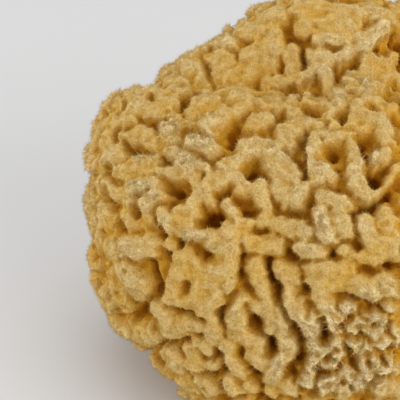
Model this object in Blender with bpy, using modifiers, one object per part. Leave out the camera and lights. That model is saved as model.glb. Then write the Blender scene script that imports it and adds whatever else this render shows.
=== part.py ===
"""A wool sponge, dried and bleached, as it grew: one piece of felted fibre.

Its body is a few lobes run together. Round pits, narrow clefts and rounded folds cover it all over.
It stands on the flat cut where it was taken off its rock.
+X runs along its longest side, +Z is up, and the origin is under the middle of it, on the cut.
"""
import math

import bmesh
import bpy
import numpy as np
from mathutils import Matrix, Vector

# Lengths are in millimetres in every named value, and in metres in the meshes
MM = 0.001
SEED = 41

# The lobes: centre x, y, z and half widths x, y, z
LOBES = (
    (-29, -8, 43, 45, 46, 44),
    (-49, 4, 58, 26, 30, 28),
    (-59, 5, 70, 14, 18, 14),
    (-50, -2, 37, 26, 38, 30),
    (2, -8, 44, 46, 52, 46),
    (-1, 31, 63, 43, 28, 43),
    (36, -4, 42, 39, 46, 42),
    (34, 21, 40, 34, 36, 44),
    (-32, 26, 54, 30, 30, 35),
    (-10, -25, 23, 49, 36, 29),
    (38, -14, 60, 26, 28, 27),
)
LOBE_GRID = 2.5
LOBE_SOFTENING = 20
FORM_SUBDIVISIONS = 2

# Lumps: size across, then how far they stand out
LUMPS = ((17.0, 1.8), (8.5, 0.7), (2.2, 0.45))
# Creases: low ridges with sharp crests, which wander over the lumps
CREASE_SIZE = 4.6
CREASE_RISE = 1.3
# How far the relief wanders off its round shapes: size across, then the shift; less in the front
WARPS = ((6.0, 1.6), (2.6, 0.8), (1.5, 0.35))
FRONT_WARPS = (0.3, 0.8, 1.0)

# Folds: round crests with steep sides, which stand up out of valleys, and pits sunk into them
VALLEY_DEPTH = 7.0
DEEPEST = 9.5
FOLD_STEEPNESS = 3.2
FOLD_SPACING = 7.2
FOLD_HALF_LENGTHS = (0.5, 4.8)
FOLD_HALF_WIDTHS = (1.6, 3.2)
FOLD_TOPS = (-1.8, 0.8)
PIT_SPACING = 9.5
PIT_HALF_WIDTHS = (1.8, 4.0)
PIT_DEPTHS = (3.0, 6.5)
BASE_CLEAR = 1.5
BASE_FADE = 5.0

# The front is laid out from one line of sight: places are across and up from it, square to it
SIGHT_AIM = (-41.5, -38.0, 71.0)
SIGHT_DISTANCE = 420.0
SIGHT_TILT = math.radians(28)
# Where the line of sight only grazes the skin, strewn relief takes a share of the front's place
GRAZING = (0.25, 0.65)
GRAZING_SHARE = 0.4
FRONT_VALLEY_DEPTH = 7.0

# Front folds: half width, height of the crest, then the places that each runs through
FRONT_FOLDS = (
    (3.7, 0.3, ((11.5, 50.7), (19.2, 50.7))),
    (3.2, 0.0, ((11.5, 46.4), (18.1, 45.9))),
    (3.7, 0.2, ((26.7, 52.3), (40.5, 51.7))),
    (3.5, 0.0, ((28.3, 47.5), (39.5, 47.5))),
    (2.9, 0.0, ((45.9, 51.2), (53.3, 50.1))),
    (1.9, 0.8, ((2.4, 42.7), (7.5, 42.1))),
    (2.4, 0.0, ((-3.7, 40.0), (-0.3, 39.7))),
    (2.4, 0.3, ((-3.5, 35.7), (-0.8, 34.7), (2.1, 30.9))),
    (3.2, 0.0, ((4.8, 38.1), (8.0, 33.6))),
    (1.6, 0.0, ((-13.3, 33.1), (-7.5, 34.9))),
    (1.2, 0.3, ((-19.2, 28.8), (-13.3, 29.3), (-7.5, 31.2), (-3.2, 33.3))),
    (2.1, 0.0, ((-5.1, 30.4), (-2.7, 32.5))),
    (2.4, 0.0, ((-23.5, 26.9), (-26.4, 22.9))),
    (2.4, 0.3, ((-17.6, 25.3), (-10.7, 25.1))),
    (1.6, 0.2, ((-10.7, 27.7), (-7.5, 27.2))),
    (1.5, 0.0, ((-8.5, 24.8), (-3.2, 20.3))),
    (2.0, 0.3, ((-2.4, 24.5), (1.6, 27.2), (7.5, 29.1), (11.5, 30.9))),
    (2.1, 0.3, ((1.6, 21.1), (6.4, 24.3))),
    (1.6, -0.5, ((7.5, 25.1), (10.7, 25.6))),
    (2.5, 0.3, ((-19.7, 16.8), (-14.9, 18.4))),
    (2.1, -0.3, ((-14.4, 16.5), (-11.7, 15.5))),
    (2.3, 1.2, ((-8.5, 19.7), (-7.5, 14.4))),
    (2.0, 0.8, ((-2.4, 15.5), (2.1, 14.4))),
    (2.3, 0.0, ((-26.4, 21.3), (-27.5, 14.4))),
    (1.9, 0.0, ((-23.2, 21.6), (-19.7, 22.1))),
    (2.7, 0.0, ((-26.7, 11.7), (-22.9, 12.5))),
    (3.2, 0.2, ((12.8, 38.7), (18.9, 41.1))),
    (2.9, 0.1, ((13.3, 35.7), (18.1, 36.8))),
    (2.3, 0.0, ((24.3, 40.0), (24.0, 35.5))),
    (1.9, 0.3, ((31.7, 43.7), (36.3, 42.4))),
    (1.9, 0.0, ((29.6, 38.7), (34.7, 37.9))),
    (1.7, 0.5, ((36.0, 37.3), (40.5, 39.7), (44.8, 42.1), (48.8, 46.7))),
    (1.3, 0.0, ((37.9, 42.9), (45.3, 44.0))),
    (1.6, 0.0, ((44.3, 37.6), (48.0, 37.9))),
    (1.6, 0.0, ((49.6, 36.5), (52.8, 38.1))),
    (1.3, 0.2, ((26.9, 33.1), (29.9, 35.2), (33.1, 35.2), (34.9, 32.8))),
    (0.9, 0.0, ((16.5, 32.3), (26.7, 32.8))),
    (1.2, 0.0, ((33.9, 32.0), (36.0, 28.8))),
    (2.4, 0.3, ((40.8, 32.3), (45.1, 30.9))),
    (1.9, 0.0, ((44.3, 34.4), (46.9, 34.7))),
    (2.1, 0.0, ((49.1, 33.1), (52.3, 34.1))),
    (1.5, 0.6, ((36.5, 28.3), (37.3, 25.6))),
    (1.9, 0.0, ((40.5, 26.9), (45.1, 27.7))),
    (1.6, 0.0, ((48.0, 27.2), (52.0, 26.7))),
    (0.9, 0.3, ((28.3, 26.9), (32.5, 27.7), (34.9, 24.0))),
    (1.3, -0.3, ((34.1, 22.4), (35.7, 20.8))),
    (2.7, 0.0, ((40.8, 22.7), (44.8, 21.9))),
    (2.4, 0.2, ((47.7, 22.4), (49.9, 17.1))),
    (2.4, 0.2, ((12.3, 28.5), (24.0, 27.7))),
    (1.9, 0.0, ((24.8, 26.1), (25.9, 20.3))),
    (1.9, 0.0, ((14.1, 21.9), (17.6, 22.4))),
    (2.1, 0.0, ((23.5, 20.8), (22.4, 16.0))),
    (1.6, 0.0, ((28.3, 21.6), (31.5, 20.5))),
    (1.6, 0.2, ((31.5, 17.9), (38.9, 18.7))),
    (1.6, 0.2, ((40.0, 17.9), (41.9, 10.7))),
    (1.6, 0.2, ((30.1, 16.0), (28.8, 11.2), (31.2, 5.3))),
    (2.3, 0.4, ((12.3, 13.6), (15.5, 14.1), (19.2, 13.3), (21.9, 11.2))),
    (2.4, 0.0, ((18.7, 10.7), (23.5, 5.9))),
    (1.6, 0.0, ((23.5, 8.5), (25.6, 6.4))),
    (2.1, 0.3, ((27.2, 4.3), (25.6, 0.0))),
    (1.6, 0.1, ((10.7, 3.2), (14.1, 2.9))),
    (1.6, 0.3, ((15.5, 3.7), (17.1, -1.1))),
    (2.1, 0.0, ((17.1, -5.1), (28.3, -8.5))),
    (1.6, 0.0, ((10.1, -5.9), (13.3, -6.4))),
    (2.7, 0.2, ((12.3, -11.2), (19.7, -12.3))),
    (2.1, 0.2, ((31.7, -3.2), (34.1, -9.6))),
    (2.1, 0.2, ((26.4, -13.3), (31.5, -14.4))),
    (2.4, 0.0, ((37.3, -3.7), (38.7, -8.0))),
    (1.9, 0.0, ((32.5, 1.1), (38.7, -1.1))),
    (2.1, 0.2, ((41.6, 5.3), (45.3, 1.6))),
    (1.6, 0.0, ((32.8, 8.5), (33.9, 6.4))),
    (1.7, 0.0, ((40.5, 8.5), (41.6, 5.9))),
    (1.5, 0.5, ((45.1, 10.7), (49.6, 12.3))),
    (1.3, 0.2, ((47.5, 2.4), (50.4, 6.1), (53.9, 9.1))),
    (2.1, 0.0, ((43.5, -5.9), (46.4, -11.7))),
    (2.4, 0.0, ((49.6, -4.3), (53.3, -9.6))),
    (2.1, 0.0, ((49.1, -11.7), (53.3, -14.4))),
    (1.6, 0.0, ((37.1, -12.5), (40.5, -14.9))),
    (2.7, 0.0, ((29.3, -19.2), (38.7, -18.7))),
    (2.4, 0.0, ((21.3, -18.7), (23.7, -21.3))),
    (1.9, 0.0, ((14.4, -17.1), (16.5, -25.1))),
    (2.4, 0.4, ((41.9, -22.9), (46.9, -24.0))),
    (2.1, 0.5, ((49.6, -22.4), (53.9, -24.5))),
    (2.1, 0.0, ((44.3, -15.5), (47.5, -16.5))),
    (1.3, 0.4, ((-17.9, 10.4), (-12.3, 11.2))),
    (1.9, 0.0, ((-22.4, 7.5), (-13.3, 8.3))),
    (1.9, 0.8, ((-18.7, 3.5), (-13.3, 4.5))),
    (1.6, 0.6, ((-15.2, -1.1), (-11.2, 2.1))),
    (2.4, 1.2, ((-4.0, 9.3), (-3.2, 8.5))),
    (1.1, 0.8, ((-4.3, 10.7), (-7.7, 12.5))),
    (1.1, 0.7, ((-2.7, 11.2), (-3.5, 13.6))),
    (1.2, 0.8, ((-1.9, 9.9), (1.9, 8.3))),
    (1.3, 0.8, ((-2.4, 7.5), (-1.1, 4.3))),
    (1.1, 0.6, ((-5.3, 7.5), (-10.7, 7.5))),
    (1.9, 0.2, ((4.3, 8.5), (9.6, 10.7))),
    (2.1, 0.1, ((5.9, 7.5), (10.1, 5.9))),
    (1.3, 0.5, ((1.1, 3.5), (2.7, -0.5))),
    (2.1, 0.1, ((20.8, 3.7), (22.4, 0.5))),
    (2.4, 0.1, ((6.9, -7.5), (9.6, -10.7))),
    (1.9, 0.2, ((7.7, -16.5), (8.3, -24.0))),
    (1.3, 0.0, ((1.1, 5.9), (5.9, 5.1))),
    (1.9, 0.8, ((0.8, 3.2), (-2.4, -1.1))),
    (1.3, 0.2, ((-6.4, -1.9), (-1.1, -2.9))),
    (1.1, 0.3, ((6.4, -0.3), (8.8, -3.7))),
    (1.6, 0.8, ((-10.9, -3.5), (-7.5, -7.5))),
    (1.3, 0.6, ((-7.5, -8.3), (0.5, -9.6))),
    (1.9, 0.2, ((-8.5, -5.6), (-3.7, -6.1))),
    (1.3, 0.0, ((-25.9, 4.3), (-24.0, 1.6))),
    (1.9, 0.0, ((-22.1, 2.4), (-20.3, 0.0))),
    (1.9, 0.0, ((-15.7, -2.9), (-13.9, -8.5))),
    (1.6, 0.0, ((-21.6, -3.2), (-19.2, -6.9))),
    (1.9, 0.0, ((-27.2, -1.6), (-26.1, -6.9))),
    (2.9, 0.2, ((-20.0, -12.3), (-13.9, -12.3))),
    (2.4, 0.0, ((-26.7, -10.9), (-23.7, -14.9))),
    (3.7, 0.0, ((-22.9, -19.2), (-18.1, -24.0))),
    (1.6, 0.3, ((-9.3, -12.0), (-8.5, -12.0))),
    (3.2, 0.2, ((-5.1, -15.2), (-7.2, -26.1))),
    (4.3, 0.2, ((4.0, -19.2), (1.6, -26.7))),
    (3.5, 0.0, ((-2.7, -18.1), (-2.1, -27.7))),
    (3.2, 0.0, ((3.2, -10.7), (8.0, -12.8))),
    (2.1, 0.0, ((-29.3, 8.0), (-28.8, 0.0))),
    (2.1, 0.0, ((-29.3, -8.0), (-28.8, -16.5))),
    (2.1, 0.0, ((-23.5, -33.6), (-20.3, -36.3))),
    (1.9, 0.0, ((-17.1, -36.0), (-13.3, -37.1))),
    (2.1, 0.3, ((-11.5, -29.1), (-9.1, -34.7))),
    (2.7, 0.2, ((-7.5, -34.9), (-1.6, -33.9))),
    (1.3, 0.2, ((-9.1, -26.7), (-3.7, -29.6), (2.1, -31.2))),
    (2.4, 0.0, ((2.1, -32.5), (3.2, -36.8))),
    (2.1, 0.0, ((-9.1, -41.6), (-6.7, -44.8))),
    (1.9, 0.0, ((-3.7, -40.8), (-1.3, -45.6))),
    (1.3, 0.0, ((-1.9, -39.2), (1.6, -40.5))),
    (1.3, 0.5, ((1.6, -44.3), (3.7, -44.8))),
    (1.6, 0.0, ((-0.5, -49.1), (2.7, -51.7))),
    (1.6, 0.0, ((6.9, -49.1), (8.5, -51.2))),
    (1.6, 0.2, ((6.7, -38.9), (8.0, -42.7))),
    (2.7, 0.2, ((9.1, -29.1), (10.1, -36.0))),
    (1.6, 0.0, ((-5.9, -48.5), (-2.1, -52.5))),
    (1.9, 0.0, ((8.5, -44.8), (10.7, -46.7))),
    (3.2, 0.0, ((-25.6, -24.5), (-22.4, -28.8))),
    (1.6, 0.0, ((17.1, -27.7), (18.1, -34.1))),
    (1.3, 0.2, ((10.9, -26.9), (14.9, -28.5))),
    (2.4, 0.0, ((12.3, -37.6), (15.2, -40.0))),
    (2.4, 0.0, ((13.6, -41.6), (16.5, -43.7))),
    (2.1, 0.1, ((21.1, -33.6), (23.5, -39.5))),
    (1.1, -0.4, ((19.7, -29.9), (21.1, -33.6))),
    (1.6, 0.8, ((21.9, -42.4), (18.9, -47.7))),
    (1.9, 0.0, ((12.3, -51.2), (13.3, -52.8))),
    (1.6, 0.0, ((22.9, -26.4), (25.6, -29.6))),
    (2.1, 0.2, ((26.7, -28.8), (29.9, -34.7))),
    (3.2, 0.1, ((30.4, -22.4), (36.8, -21.9))),
    (1.3, 0.3, ((23.5, -24.5), (24.5, -29.9))),
    (2.4, 0.0, ((31.7, -24.5), (33.6, -30.9))),
    (2.4, 0.2, ((49.1, -50.9), (52.3, -51.7))),
    (2.4, -0.3, ((18.7, -51.2), (24.0, -51.2))),
    (1.9, 0.6, ((38.9, -28.8), (40.0, -29.9))),
    (1.2, 0.2, ((37.1, -31.2), (37.3, -32.0))),
    (1.3, 0.4, ((34.9, -32.3), (35.5, -33.6))),
    (1.2, 0.2, ((41.9, -32.0), (42.7, -33.1))),
    (1.2, 0.3, ((36.3, -35.7), (37.1, -36.5))),
    (1.6, 0.5, ((46.9, -32.0), (49.1, -32.8))),
    (1.5, 0.3, ((46.1, -36.5), (48.3, -35.7))),
    (1.3, 0.2, ((52.3, -34.7), (53.3, -36.3))),
    (1.2, 0.2, ((40.0, -34.9), (41.1, -35.7))),
    (1.2, 0.0, ((44.0, -34.1), (44.8, -34.7))),
    (1.3, 0.5, ((40.8, -39.2), (42.1, -39.7))),
    (1.2, 0.5, ((32.5, -40.3), (34.7, -39.5))),
    (1.2, 0.3, ((37.3, -38.9), (37.6, -40.0))),
    (1.2, 0.2, ((45.1, -40.0), (45.9, -41.1))),
    (1.3, 0.3, ((48.5, -39.2), (49.6, -38.4))),
    (1.2, 0.6, ((29.9, -38.7), (30.9, -39.7))),
    (1.2, 0.5, ((29.9, -42.4), (32.0, -43.5))),
    (1.5, 0.7, ((34.1, -44.8), (36.8, -42.9))),
    (1.5, 0.4, ((38.7, -46.4), (40.0, -47.5))),
    (1.2, 0.4, ((43.2, -43.7), (44.5, -45.1))),
    (1.2, 0.5, ((46.9, -44.3), (48.8, -45.6))),
    (1.2, 0.3, ((50.9, -44.5), (52.0, -46.1))),
    (1.6, 0.5, ((42.1, -50.1), (44.3, -47.7))),
    (1.7, 0.6, ((33.1, -50.1), (35.7, -48.3))),
    (1.3, 0.3, ((27.7, -45.6), (29.3, -49.1))),
    (1.3, 0.1, ((52.8, -39.5), (53.9, -41.1))),
    (1.6, 0.0, ((37.9, -51.2), (39.2, -52.8))),
    (1.1, 0.2, ((51.2, -29.1), (53.3, -29.9))),
    (0.9, 0.0, ((43.7, -30.4), (44.3, -31.5))),
)

# Front pits: across, up, half width, half height, turn in degrees, depth
FRONT_PITS = (
    (2.9, -4.3, 4.4, 2.9, -5, 5.5),
    (14.7, 7.7, 3.5, 2.4, 15, 5.0),
    (9.1, 19.2, 2.4, 3.5, -20, 4.5),
    (-3.7, 9.1, 1.2, 0.8, 20, 1.6),
    (-8.5, 3.2, 2.7, 1.5, 0, 3.0),
    (3.2, 9.1, 1.3, 1.2, 0, 2.5),
    (10.1, 0.8, 1.6, 1.3, 0, 3.5),
    (12.5, -2.7, 1.6, 1.3, 0, 2.5),
    (-19.7, 14.4, 1.2, 3.2, 40, 3.5),
    (-4.3, 27.2, 1.5, 2.3, 10, 4.5),
    (-2.7, 18.9, 2.8, 1.7, 0, 4.5),
    (-8.8, 10.1, 1.3, 0.8, 20, 1.8),
    (-13.9, 20.8, 1.2, 0.8, 0, 2.0),
    (-9.1, 21.9, 1.2, 0.8, 0, 2.0),
    (-11.7, 31.2, 2.4, 0.8, -5, 2.5),
    (-13.3, 27.7, 1.1, 0.8, 0, 1.8),
    (-21.9, 5.6, 1.3, 0.8, 0, 1.5),
    (-25.9, 0.3, 1.2, 2.1, 0, 2.0),
    (-18.1, -1.9, 1.2, 1.7, 0, 2.5),
    (-22.9, -6.7, 1.6, 1.5, 0, 2.5),
    (29.3, 30.4, 3.2, 1.9, -10, 4.5),
    (35.5, 40.8, 2.4, 0.8, -4, 2.5),
    (47.7, 40.5, 1.3, 2.0, 0, 3.0),
    (52.8, 43.5, 1.1, 2.4, 0, 4.5),
    (22.7, 43.7, 0.9, 1.9, 0, 3.0),
    (30.4, 47.2, 0.8, 1.1, 20, 2.0),
    (34.7, 14.1, 1.7, 1.9, 0, 3.0),
    (37.1, 9.6, 1.2, 0.9, 0, 2.5),
    (36.0, 3.7, 2.3, 0.9, 5, 3.5),
    (46.9, 6.1, 2.1, 2.4, 0, 6.5),
    (28.8, 25.1, 2.1, 1.1, -30, 3.5),
    (38.1, 23.2, 1.2, 1.6, -40, 4.5),
    (50.9, 30.1, 1.6, 1.6, 0, 2.5),
    (42.7, 17.6, 2.4, 1.7, 0, 3.0),
    (52.3, 17.6, 1.3, 1.1, 0, 3.0),
    (16.8, -8.0, 2.1, 1.1, 0, 2.5),
    (26.1, -2.9, 3.2, 1.1, -8, 3.0),
    (20.8, -1.1, 1.5, 0.9, 0, 2.0),
    (23.7, -14.7, 1.3, 2.4, 0, 2.5),
    (1.9, -15.7, 3.5, 1.6, -15, 2.2),
    (2.1, -24.5, 2.1, 1.1, 0, 1.0),
    (-4.8, -23.5, 2.1, 2.0, 0, 3.5),
    (-5.1, -25.3, 1.9, 0.9, 20, 2.0),
    (-15.7, -32.0, 3.5, 2.1, -8, 4.5),
    (-19.5, -27.2, 1.1, 2.1, 20, 3.0),
    (-22.9, -30.9, 1.1, 2.0, 0, 2.5),
    (15.5, -33.1, 2.4, 1.7, 0, 3.0),
    (12.0, -28.8, 1.1, 1.3, 30, 2.0),
    (19.5, -38.4, 1.6, 1.9, 0, 4.5),
    (27.7, -24.0, 1.3, 1.7, 20, 5.5),
    (28.3, -28.3, 0.7, 2.1, 10, 2.5),
    (32.5, -33.1, 1.1, 1.7, 0, 3.5),
    (32.5, -37.9, 1.6, 0.8, 30, 3.5),
    (49.3, -6.1, 1.6, 0.9, 0, 1.2),
    (50.7, -19.2, 3.2, 1.3, 0, 2.5),
    (5.3, -51.2, 1.1, 1.5, 0, 4.5),
    (5.3, -45.6, 1.2, 1.6, 0, 3.0),
    (1.1, -47.2, 2.9, 0.8, 0, 2.0),
    (27.7, -52.5, 1.2, 0.9, 0, 4.0),
    (14.4, -47.2, 2.1, 1.1, -25, 4.5),
    (16.5, -51.2, 1.2, 1.6, 0, 3.0),
    (39.2, -2.4, 0.8, 0.8, 0, 1.8),
    (5.6, 1.6, 2.1, 1.6, 0, 1.2),
    (28.3, 18.7, 1.1, 1.3, 0, 2.5),
    (15.2, 24.5, 0.8, 0.7, 0, 1.4),
    (20.8, 24.3, 0.9, 0.7, 0, 1.6),
    (21.9, 22.1, 0.8, 0.7, 0, 1.6),
    (16.8, 18.7, 1.3, 0.9, 0, 2.2),
    (11.2, 19.5, 0.8, 1.1, 0, 2.0),
    (-18.7, -12.5, 0.5, 0.4, 0, 1.0),
    (-20.8, -16.8, 0.5, 0.5, 0, 1.0),
    (-19.5, -18.7, 0.5, 0.5, 0, 1.2),
    (-15.2, -17.1, 0.7, 0.5, 0, 1.2),
    (26.7, -44.5, 1.2, 2.9, -10, 3.5),
    (31.5, -45.9, 1.2, 1.1, 0, 3.0),
    (41.1, -42.1, 2.1, 0.8, -5, 3.0),
    (47.2, -41.9, 2.1, 0.7, 10, 3.0),
    (48.3, -47.5, 2.4, 0.8, 8, 2.5),
    (41.3, -27.5, 2.1, 0.8, -35, 3.0),
    (44.3, -30.1, 1.6, 0.9, -20, 2.5),
    (-22.4, 24.0, 0.8, 1.1, 0, 1.5),
    (33.6, 21.6, 1.1, 1.1, 0, 2.0),
    (4.3, -41.1, 1.6, 0.8, 10, 3.0),
    (9.6, -41.6, 1.1, 0.7, 0, 2.5),
)

# Front clefts: width, depth, then the places that each runs through
FRONT_CLEFTS = (
    (1.1, 3.0, ((27.2, 39.5), (27.5, 35.7))),
    (1.1, 4.0, ((36.3, 35.7), (36.0, 30.9))),
    (0.8, 2.5, ((18.7, 30.9), (26.1, 30.9))),
    (1.2, 6.0, ((27.5, 16.5), (28.0, 12.0), (27.7, 5.9))),
    (1.6, 4.0, ((43.2, 15.5), (44.3, 11.2), (45.9, 6.9))),
    (1.3, 5.0, ((40.5, -3.5), (44.3, -2.1), (48.5, 0.5), (51.2, 3.7))),
    (0.9, 4.0, ((41.3, -4.3), (41.1, -8.5))),
    (1.1, 2.5, ((0.0, 38.1), (1.6, 35.2), (3.5, 30.4))),
    (1.3, 3.5, ((-15.2, -16.5), (-13.9, -21.3), (-11.7, -26.7))),
    (0.9, 3.0, ((-12.0, -2.1), (-12.8, -6.4), (-11.2, -9.6))),
    (1.1, 3.5, ((-11.2, -13.6), (-9.6, -14.9))),
    (0.8, 3.0, ((-6.7, -10.7), (-6.1, -12.8))),
    (1.1, 4.0, ((-9.9, -28.5), (-4.3, -30.9), (1.1, -33.1))),
    (0.8, 2.5, ((-3.2, -35.5), (-0.5, -37.6))),
    (0.8, 2.5, ((-10.7, -38.7), (-2.7, -38.7))),
    (1.3, 3.5, ((11.5, -20.3), (9.6, -24.8), (6.1, -29.6), (5.6, -33.6))),
    (0.8, 4.0, ((18.7, -16.5), (18.4, -20.3), (20.3, -23.5), (21.1, -27.7))),
    (1.1, 4.0, ((22.1, -29.6), (24.3, -33.3), (27.2, -38.1))),
    (0.8, 2.5, ((-8.3, 14.1), (-5.1, 14.7), (-1.6, 12.8), (1.3, 10.4), (3.2, 8.8))),
    (0.8, 2.0, ((1.1, 6.7), (0.0, 4.0))),
    (0.7, 2.0, ((25.9, -20.5), (27.7, -23.2))),
    (1.1, 3.5, ((33.6, -15.5), (36.3, -12.3), (38.9, -10.7))),
    (1.1, 3.0, ((26.7, -16.5), (32.0, -16.3))),
    (1.1, 3.5, ((48.0, -17.9), (53.9, -18.1))),
    (1.1, 3.0, ((22.4, 13.3), (26.7, 10.7))),
    (1.1, 2.5, ((11.2, -12.8), (11.5, -16.5))),
    (0.8, 2.5, ((20.3, 24.5), (22.4, 22.4))),
    (1.1, 3.0, ((49.3, 2.1), (52.8, 5.3))),
)

# Where the felt is torn into crumbs: across, up, half width, half height
FRONT_CRUMBS = (
    (41.3, -38.7, 15.0, 14.0),
    (31.0, -46.0, 8.0, 8.0),
)
# How far the folds are frayed at their sides, and how much more so in the crumbs
FOLD_FRAY = 0.4
CRUMB_FRAY = 0.3
CRUMB_GAP = 0.35
CRUMB_DEPTH = 0.5

# The finished skin: size of its faces before they are thinned, a slight swelling, rounds of
# softening, and faces kept
BODY_GRID = 1.15
BODY_SWELL = 0.5
BODY_SOFTENING = 8
TRIANGLES = 9600
WOOL_COLOUR = (0.47, 0.27, 0.085)


def smooth_step(low, high, value):
    """A soft step from 0 at low to 1 at high."""
    share = np.clip((value - low) / (high - low), 0.0, 1.0)
    return share * share * (3.0 - 2.0 * share)


def lumpy(points, size, seed):
    """Smooth noise in space, about -1 to 1, whose lumps and dips are about size across."""
    span = 32
    slopes = np.random.default_rng(seed).normal(size=(span, span, span, 3))
    slopes /= np.linalg.norm(slopes, axis=3)[..., None]
    spot = points / size + span
    cell = np.floor(spot).astype(int)
    part = spot - cell
    blend = part * part * part * (part * (6.0 * part - 15.0) + 10.0)
    total = np.zeros(len(points))
    for corner in np.ndindex(2, 2, 2):
        weight = np.prod(np.where(corner, blend, 1.0 - blend), axis=1)
        near = (cell + corner) % span
        slope = slopes[near[:, 0], near[:, 1], near[:, 2]]
        total += weight * np.sum(slope * (part - corner), axis=1)
    return total * 1.6


def places(mesh):
    """The mesh's points, in millimetres."""
    flat = np.empty(len(mesh.vertices) * 3)
    mesh.vertices.foreach_get("co", flat)
    return flat.reshape(-1, 3) / MM


def outward(mesh):
    """The mesh's normals at its points."""
    flat = np.empty(len(mesh.vertices) * 3)
    mesh.vertex_normals.foreach_get("vector", flat)
    return flat.reshape(-1, 3)


def move_to(mesh, points):
    """Moves the mesh's points to places given in millimetres."""
    mesh.vertices.foreach_set("co", (points * MM).ravel())
    mesh.update()


def settle(piece):
    """Applies the piece's modifiers."""
    graph = bpy.context.evaluated_depsgraph_get()
    graph.update()
    finished = bpy.data.meshes.new_from_object(piece.evaluated_get(graph), depsgraph=graph)
    piece.modifiers.clear()
    piece.data = finished


def give_even_skin(piece, grid, softening):
    """Gives the piece an even skin of small faces, softened a little."""
    skin = piece.modifiers.new("Even skin", "REMESH")
    skin.mode = "VOXEL"
    skin.voxel_size = grid * MM
    soft = piece.modifiers.new("Soften", "SMOOTH")
    soft.factor = 0.5
    soft.iterations = softening
    settle(piece)


def run_lobes_together(collection):
    """The bare form: the lobes as one rounded body."""
    form = bmesh.new()
    for x, y, z, half_x, half_y, half_z in LOBES:
        place = Matrix.LocRotScale(Vector((x, y, z)) * MM, None, Vector((half_x, half_y, half_z)) * MM)
        bmesh.ops.create_icosphere(form, subdivisions=4, radius=1.0, matrix=place)
    mesh = bpy.data.meshes.new("sponge")
    form.to_mesh(mesh)
    form.free()
    piece = bpy.data.objects.new("sponge", mesh)
    collection.objects.link(piece)
    give_even_skin(piece, LOBE_GRID, LOBE_SOFTENING)
    return piece


def make_finer(piece, levels):
    """Divides each face of the bare form, kept smooth."""
    finer = piece.modifiers.new("Finer", "SUBSURF")
    finer.levels = levels
    finer.render_levels = levels
    settle(piece)


def sight_of(points, normals):
    """Where the front's line of sight sees each point, and how squarely its surface faces it."""
    back = np.array((0.0, -math.cos(SIGHT_TILT), math.sin(SIGHT_TILT)))
    up = np.array((0.0, math.sin(SIGHT_TILT), math.cos(SIGHT_TILT)))
    offset = points - np.array(SIGHT_AIM)
    reach = SIGHT_DISTANCE - offset @ back
    eye = np.array(SIGHT_AIM) + back * SIGHT_DISTANCE
    towards = eye - points
    towards /= np.linalg.norm(towards, axis=1)[:, None]
    facing = np.sum(towards * normals, axis=1)
    return offset[:, 0] * SIGHT_DISTANCE / reach, offset @ up * SIGHT_DISTANCE / reach, facing


def gap_to_route(across, up, route):
    """How far each point lies from a route laid out on the front."""
    gap = np.full(len(across), np.inf)
    for (x1, y1), (x2, y2) in zip(route, route[1:]):
        run_x, run_y = x2 - x1, y2 - y1
        share = ((across - x1) * run_x + (up - y1) * run_y) / (run_x ** 2 + run_y ** 2)
        share = np.clip(share, 0.0, 1.0)
        gap = np.minimum(gap, np.hypot(across - x1 - share * run_x, up - y1 - share * run_y))
    return gap


def fold_height(gap, half_width, crest):
    """The height at a gap from a fold's middle line: a round crest, then a steep side."""
    share = np.minimum(gap / half_width, 1.0)
    return crest - 0.3 * half_width * share ** 2 - FOLD_STEEPNESS * np.maximum(gap - 0.95 * half_width, 0.0)


def pit_depth(share, depth):
    """The depth at a share of the pit's half width: a round floor, steep walls, a soft lip."""
    return depth * (1.0 - smooth_step(0.3, 1.25, share))


def oval_share(across, up, oval):
    """How far out each point lies in an oval laid out on the front: 1 is on its edge."""
    mid_across, mid_up, half_width, half_height, turn = oval
    angle = math.radians(turn)
    right = across - mid_across
    rise = up - mid_up
    along = (right * math.cos(angle) + rise * math.sin(angle)) / half_width
    over = (rise * math.cos(angle) - right * math.sin(angle)) / half_height
    return np.hypot(along, over)


def inside_ovals(across, up, ovals, inner, outer):
    """How far each point is inside one of the ovals, from 0 to 1."""
    share = np.full(len(across), np.inf)
    for *middle, half_width, half_height in ovals:
        share = np.minimum(share, oval_share(across, up, (*middle, half_width, half_height, 0)))
    return 1.0 - smooth_step(inner, outer, share)


def front_relief(across, up, wobble):
    """The height of the folds laid out on the front, with its pits and clefts sunk into them."""
    torn = inside_ovals(across, up, FRONT_CRUMBS, 0.7, 1.1)
    height = -FRONT_VALLEY_DEPTH - CRUMB_DEPTH * torn
    fray = (FOLD_FRAY + CRUMB_FRAY * torn) * wobble + CRUMB_GAP * torn
    for half_width, crest, route in FRONT_FOLDS:
        gap = gap_to_route(across, up, route) + fray
        height = np.maximum(height, fold_height(gap, half_width, crest))
    deep = np.zeros(len(across))
    for *oval, depth in FRONT_PITS:
        share = oval_share(across, up, oval) + 0.2 * wobble
        deep = np.maximum(deep, pit_depth(share, depth))
    for width, depth, route in FRONT_CLEFTS:
        share = gap_to_route(across, up, route) / (width * 0.62) + 0.25 * wobble
        deep = np.maximum(deep, depth * (1.0 - smooth_step(0.2, 1.7, share)))
    return height - deep


def scattered(points, spacing, chance):
    """Points of the bare form, at least spacing apart from each other."""
    left = chance.permutation(len(points))
    chosen = []
    while len(left):
        chosen.append(int(left[0]))
        gaps = np.linalg.norm(points[left] - points[left[0]], axis=1)
        left = left[gaps >= spacing]
    return chosen


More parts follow.
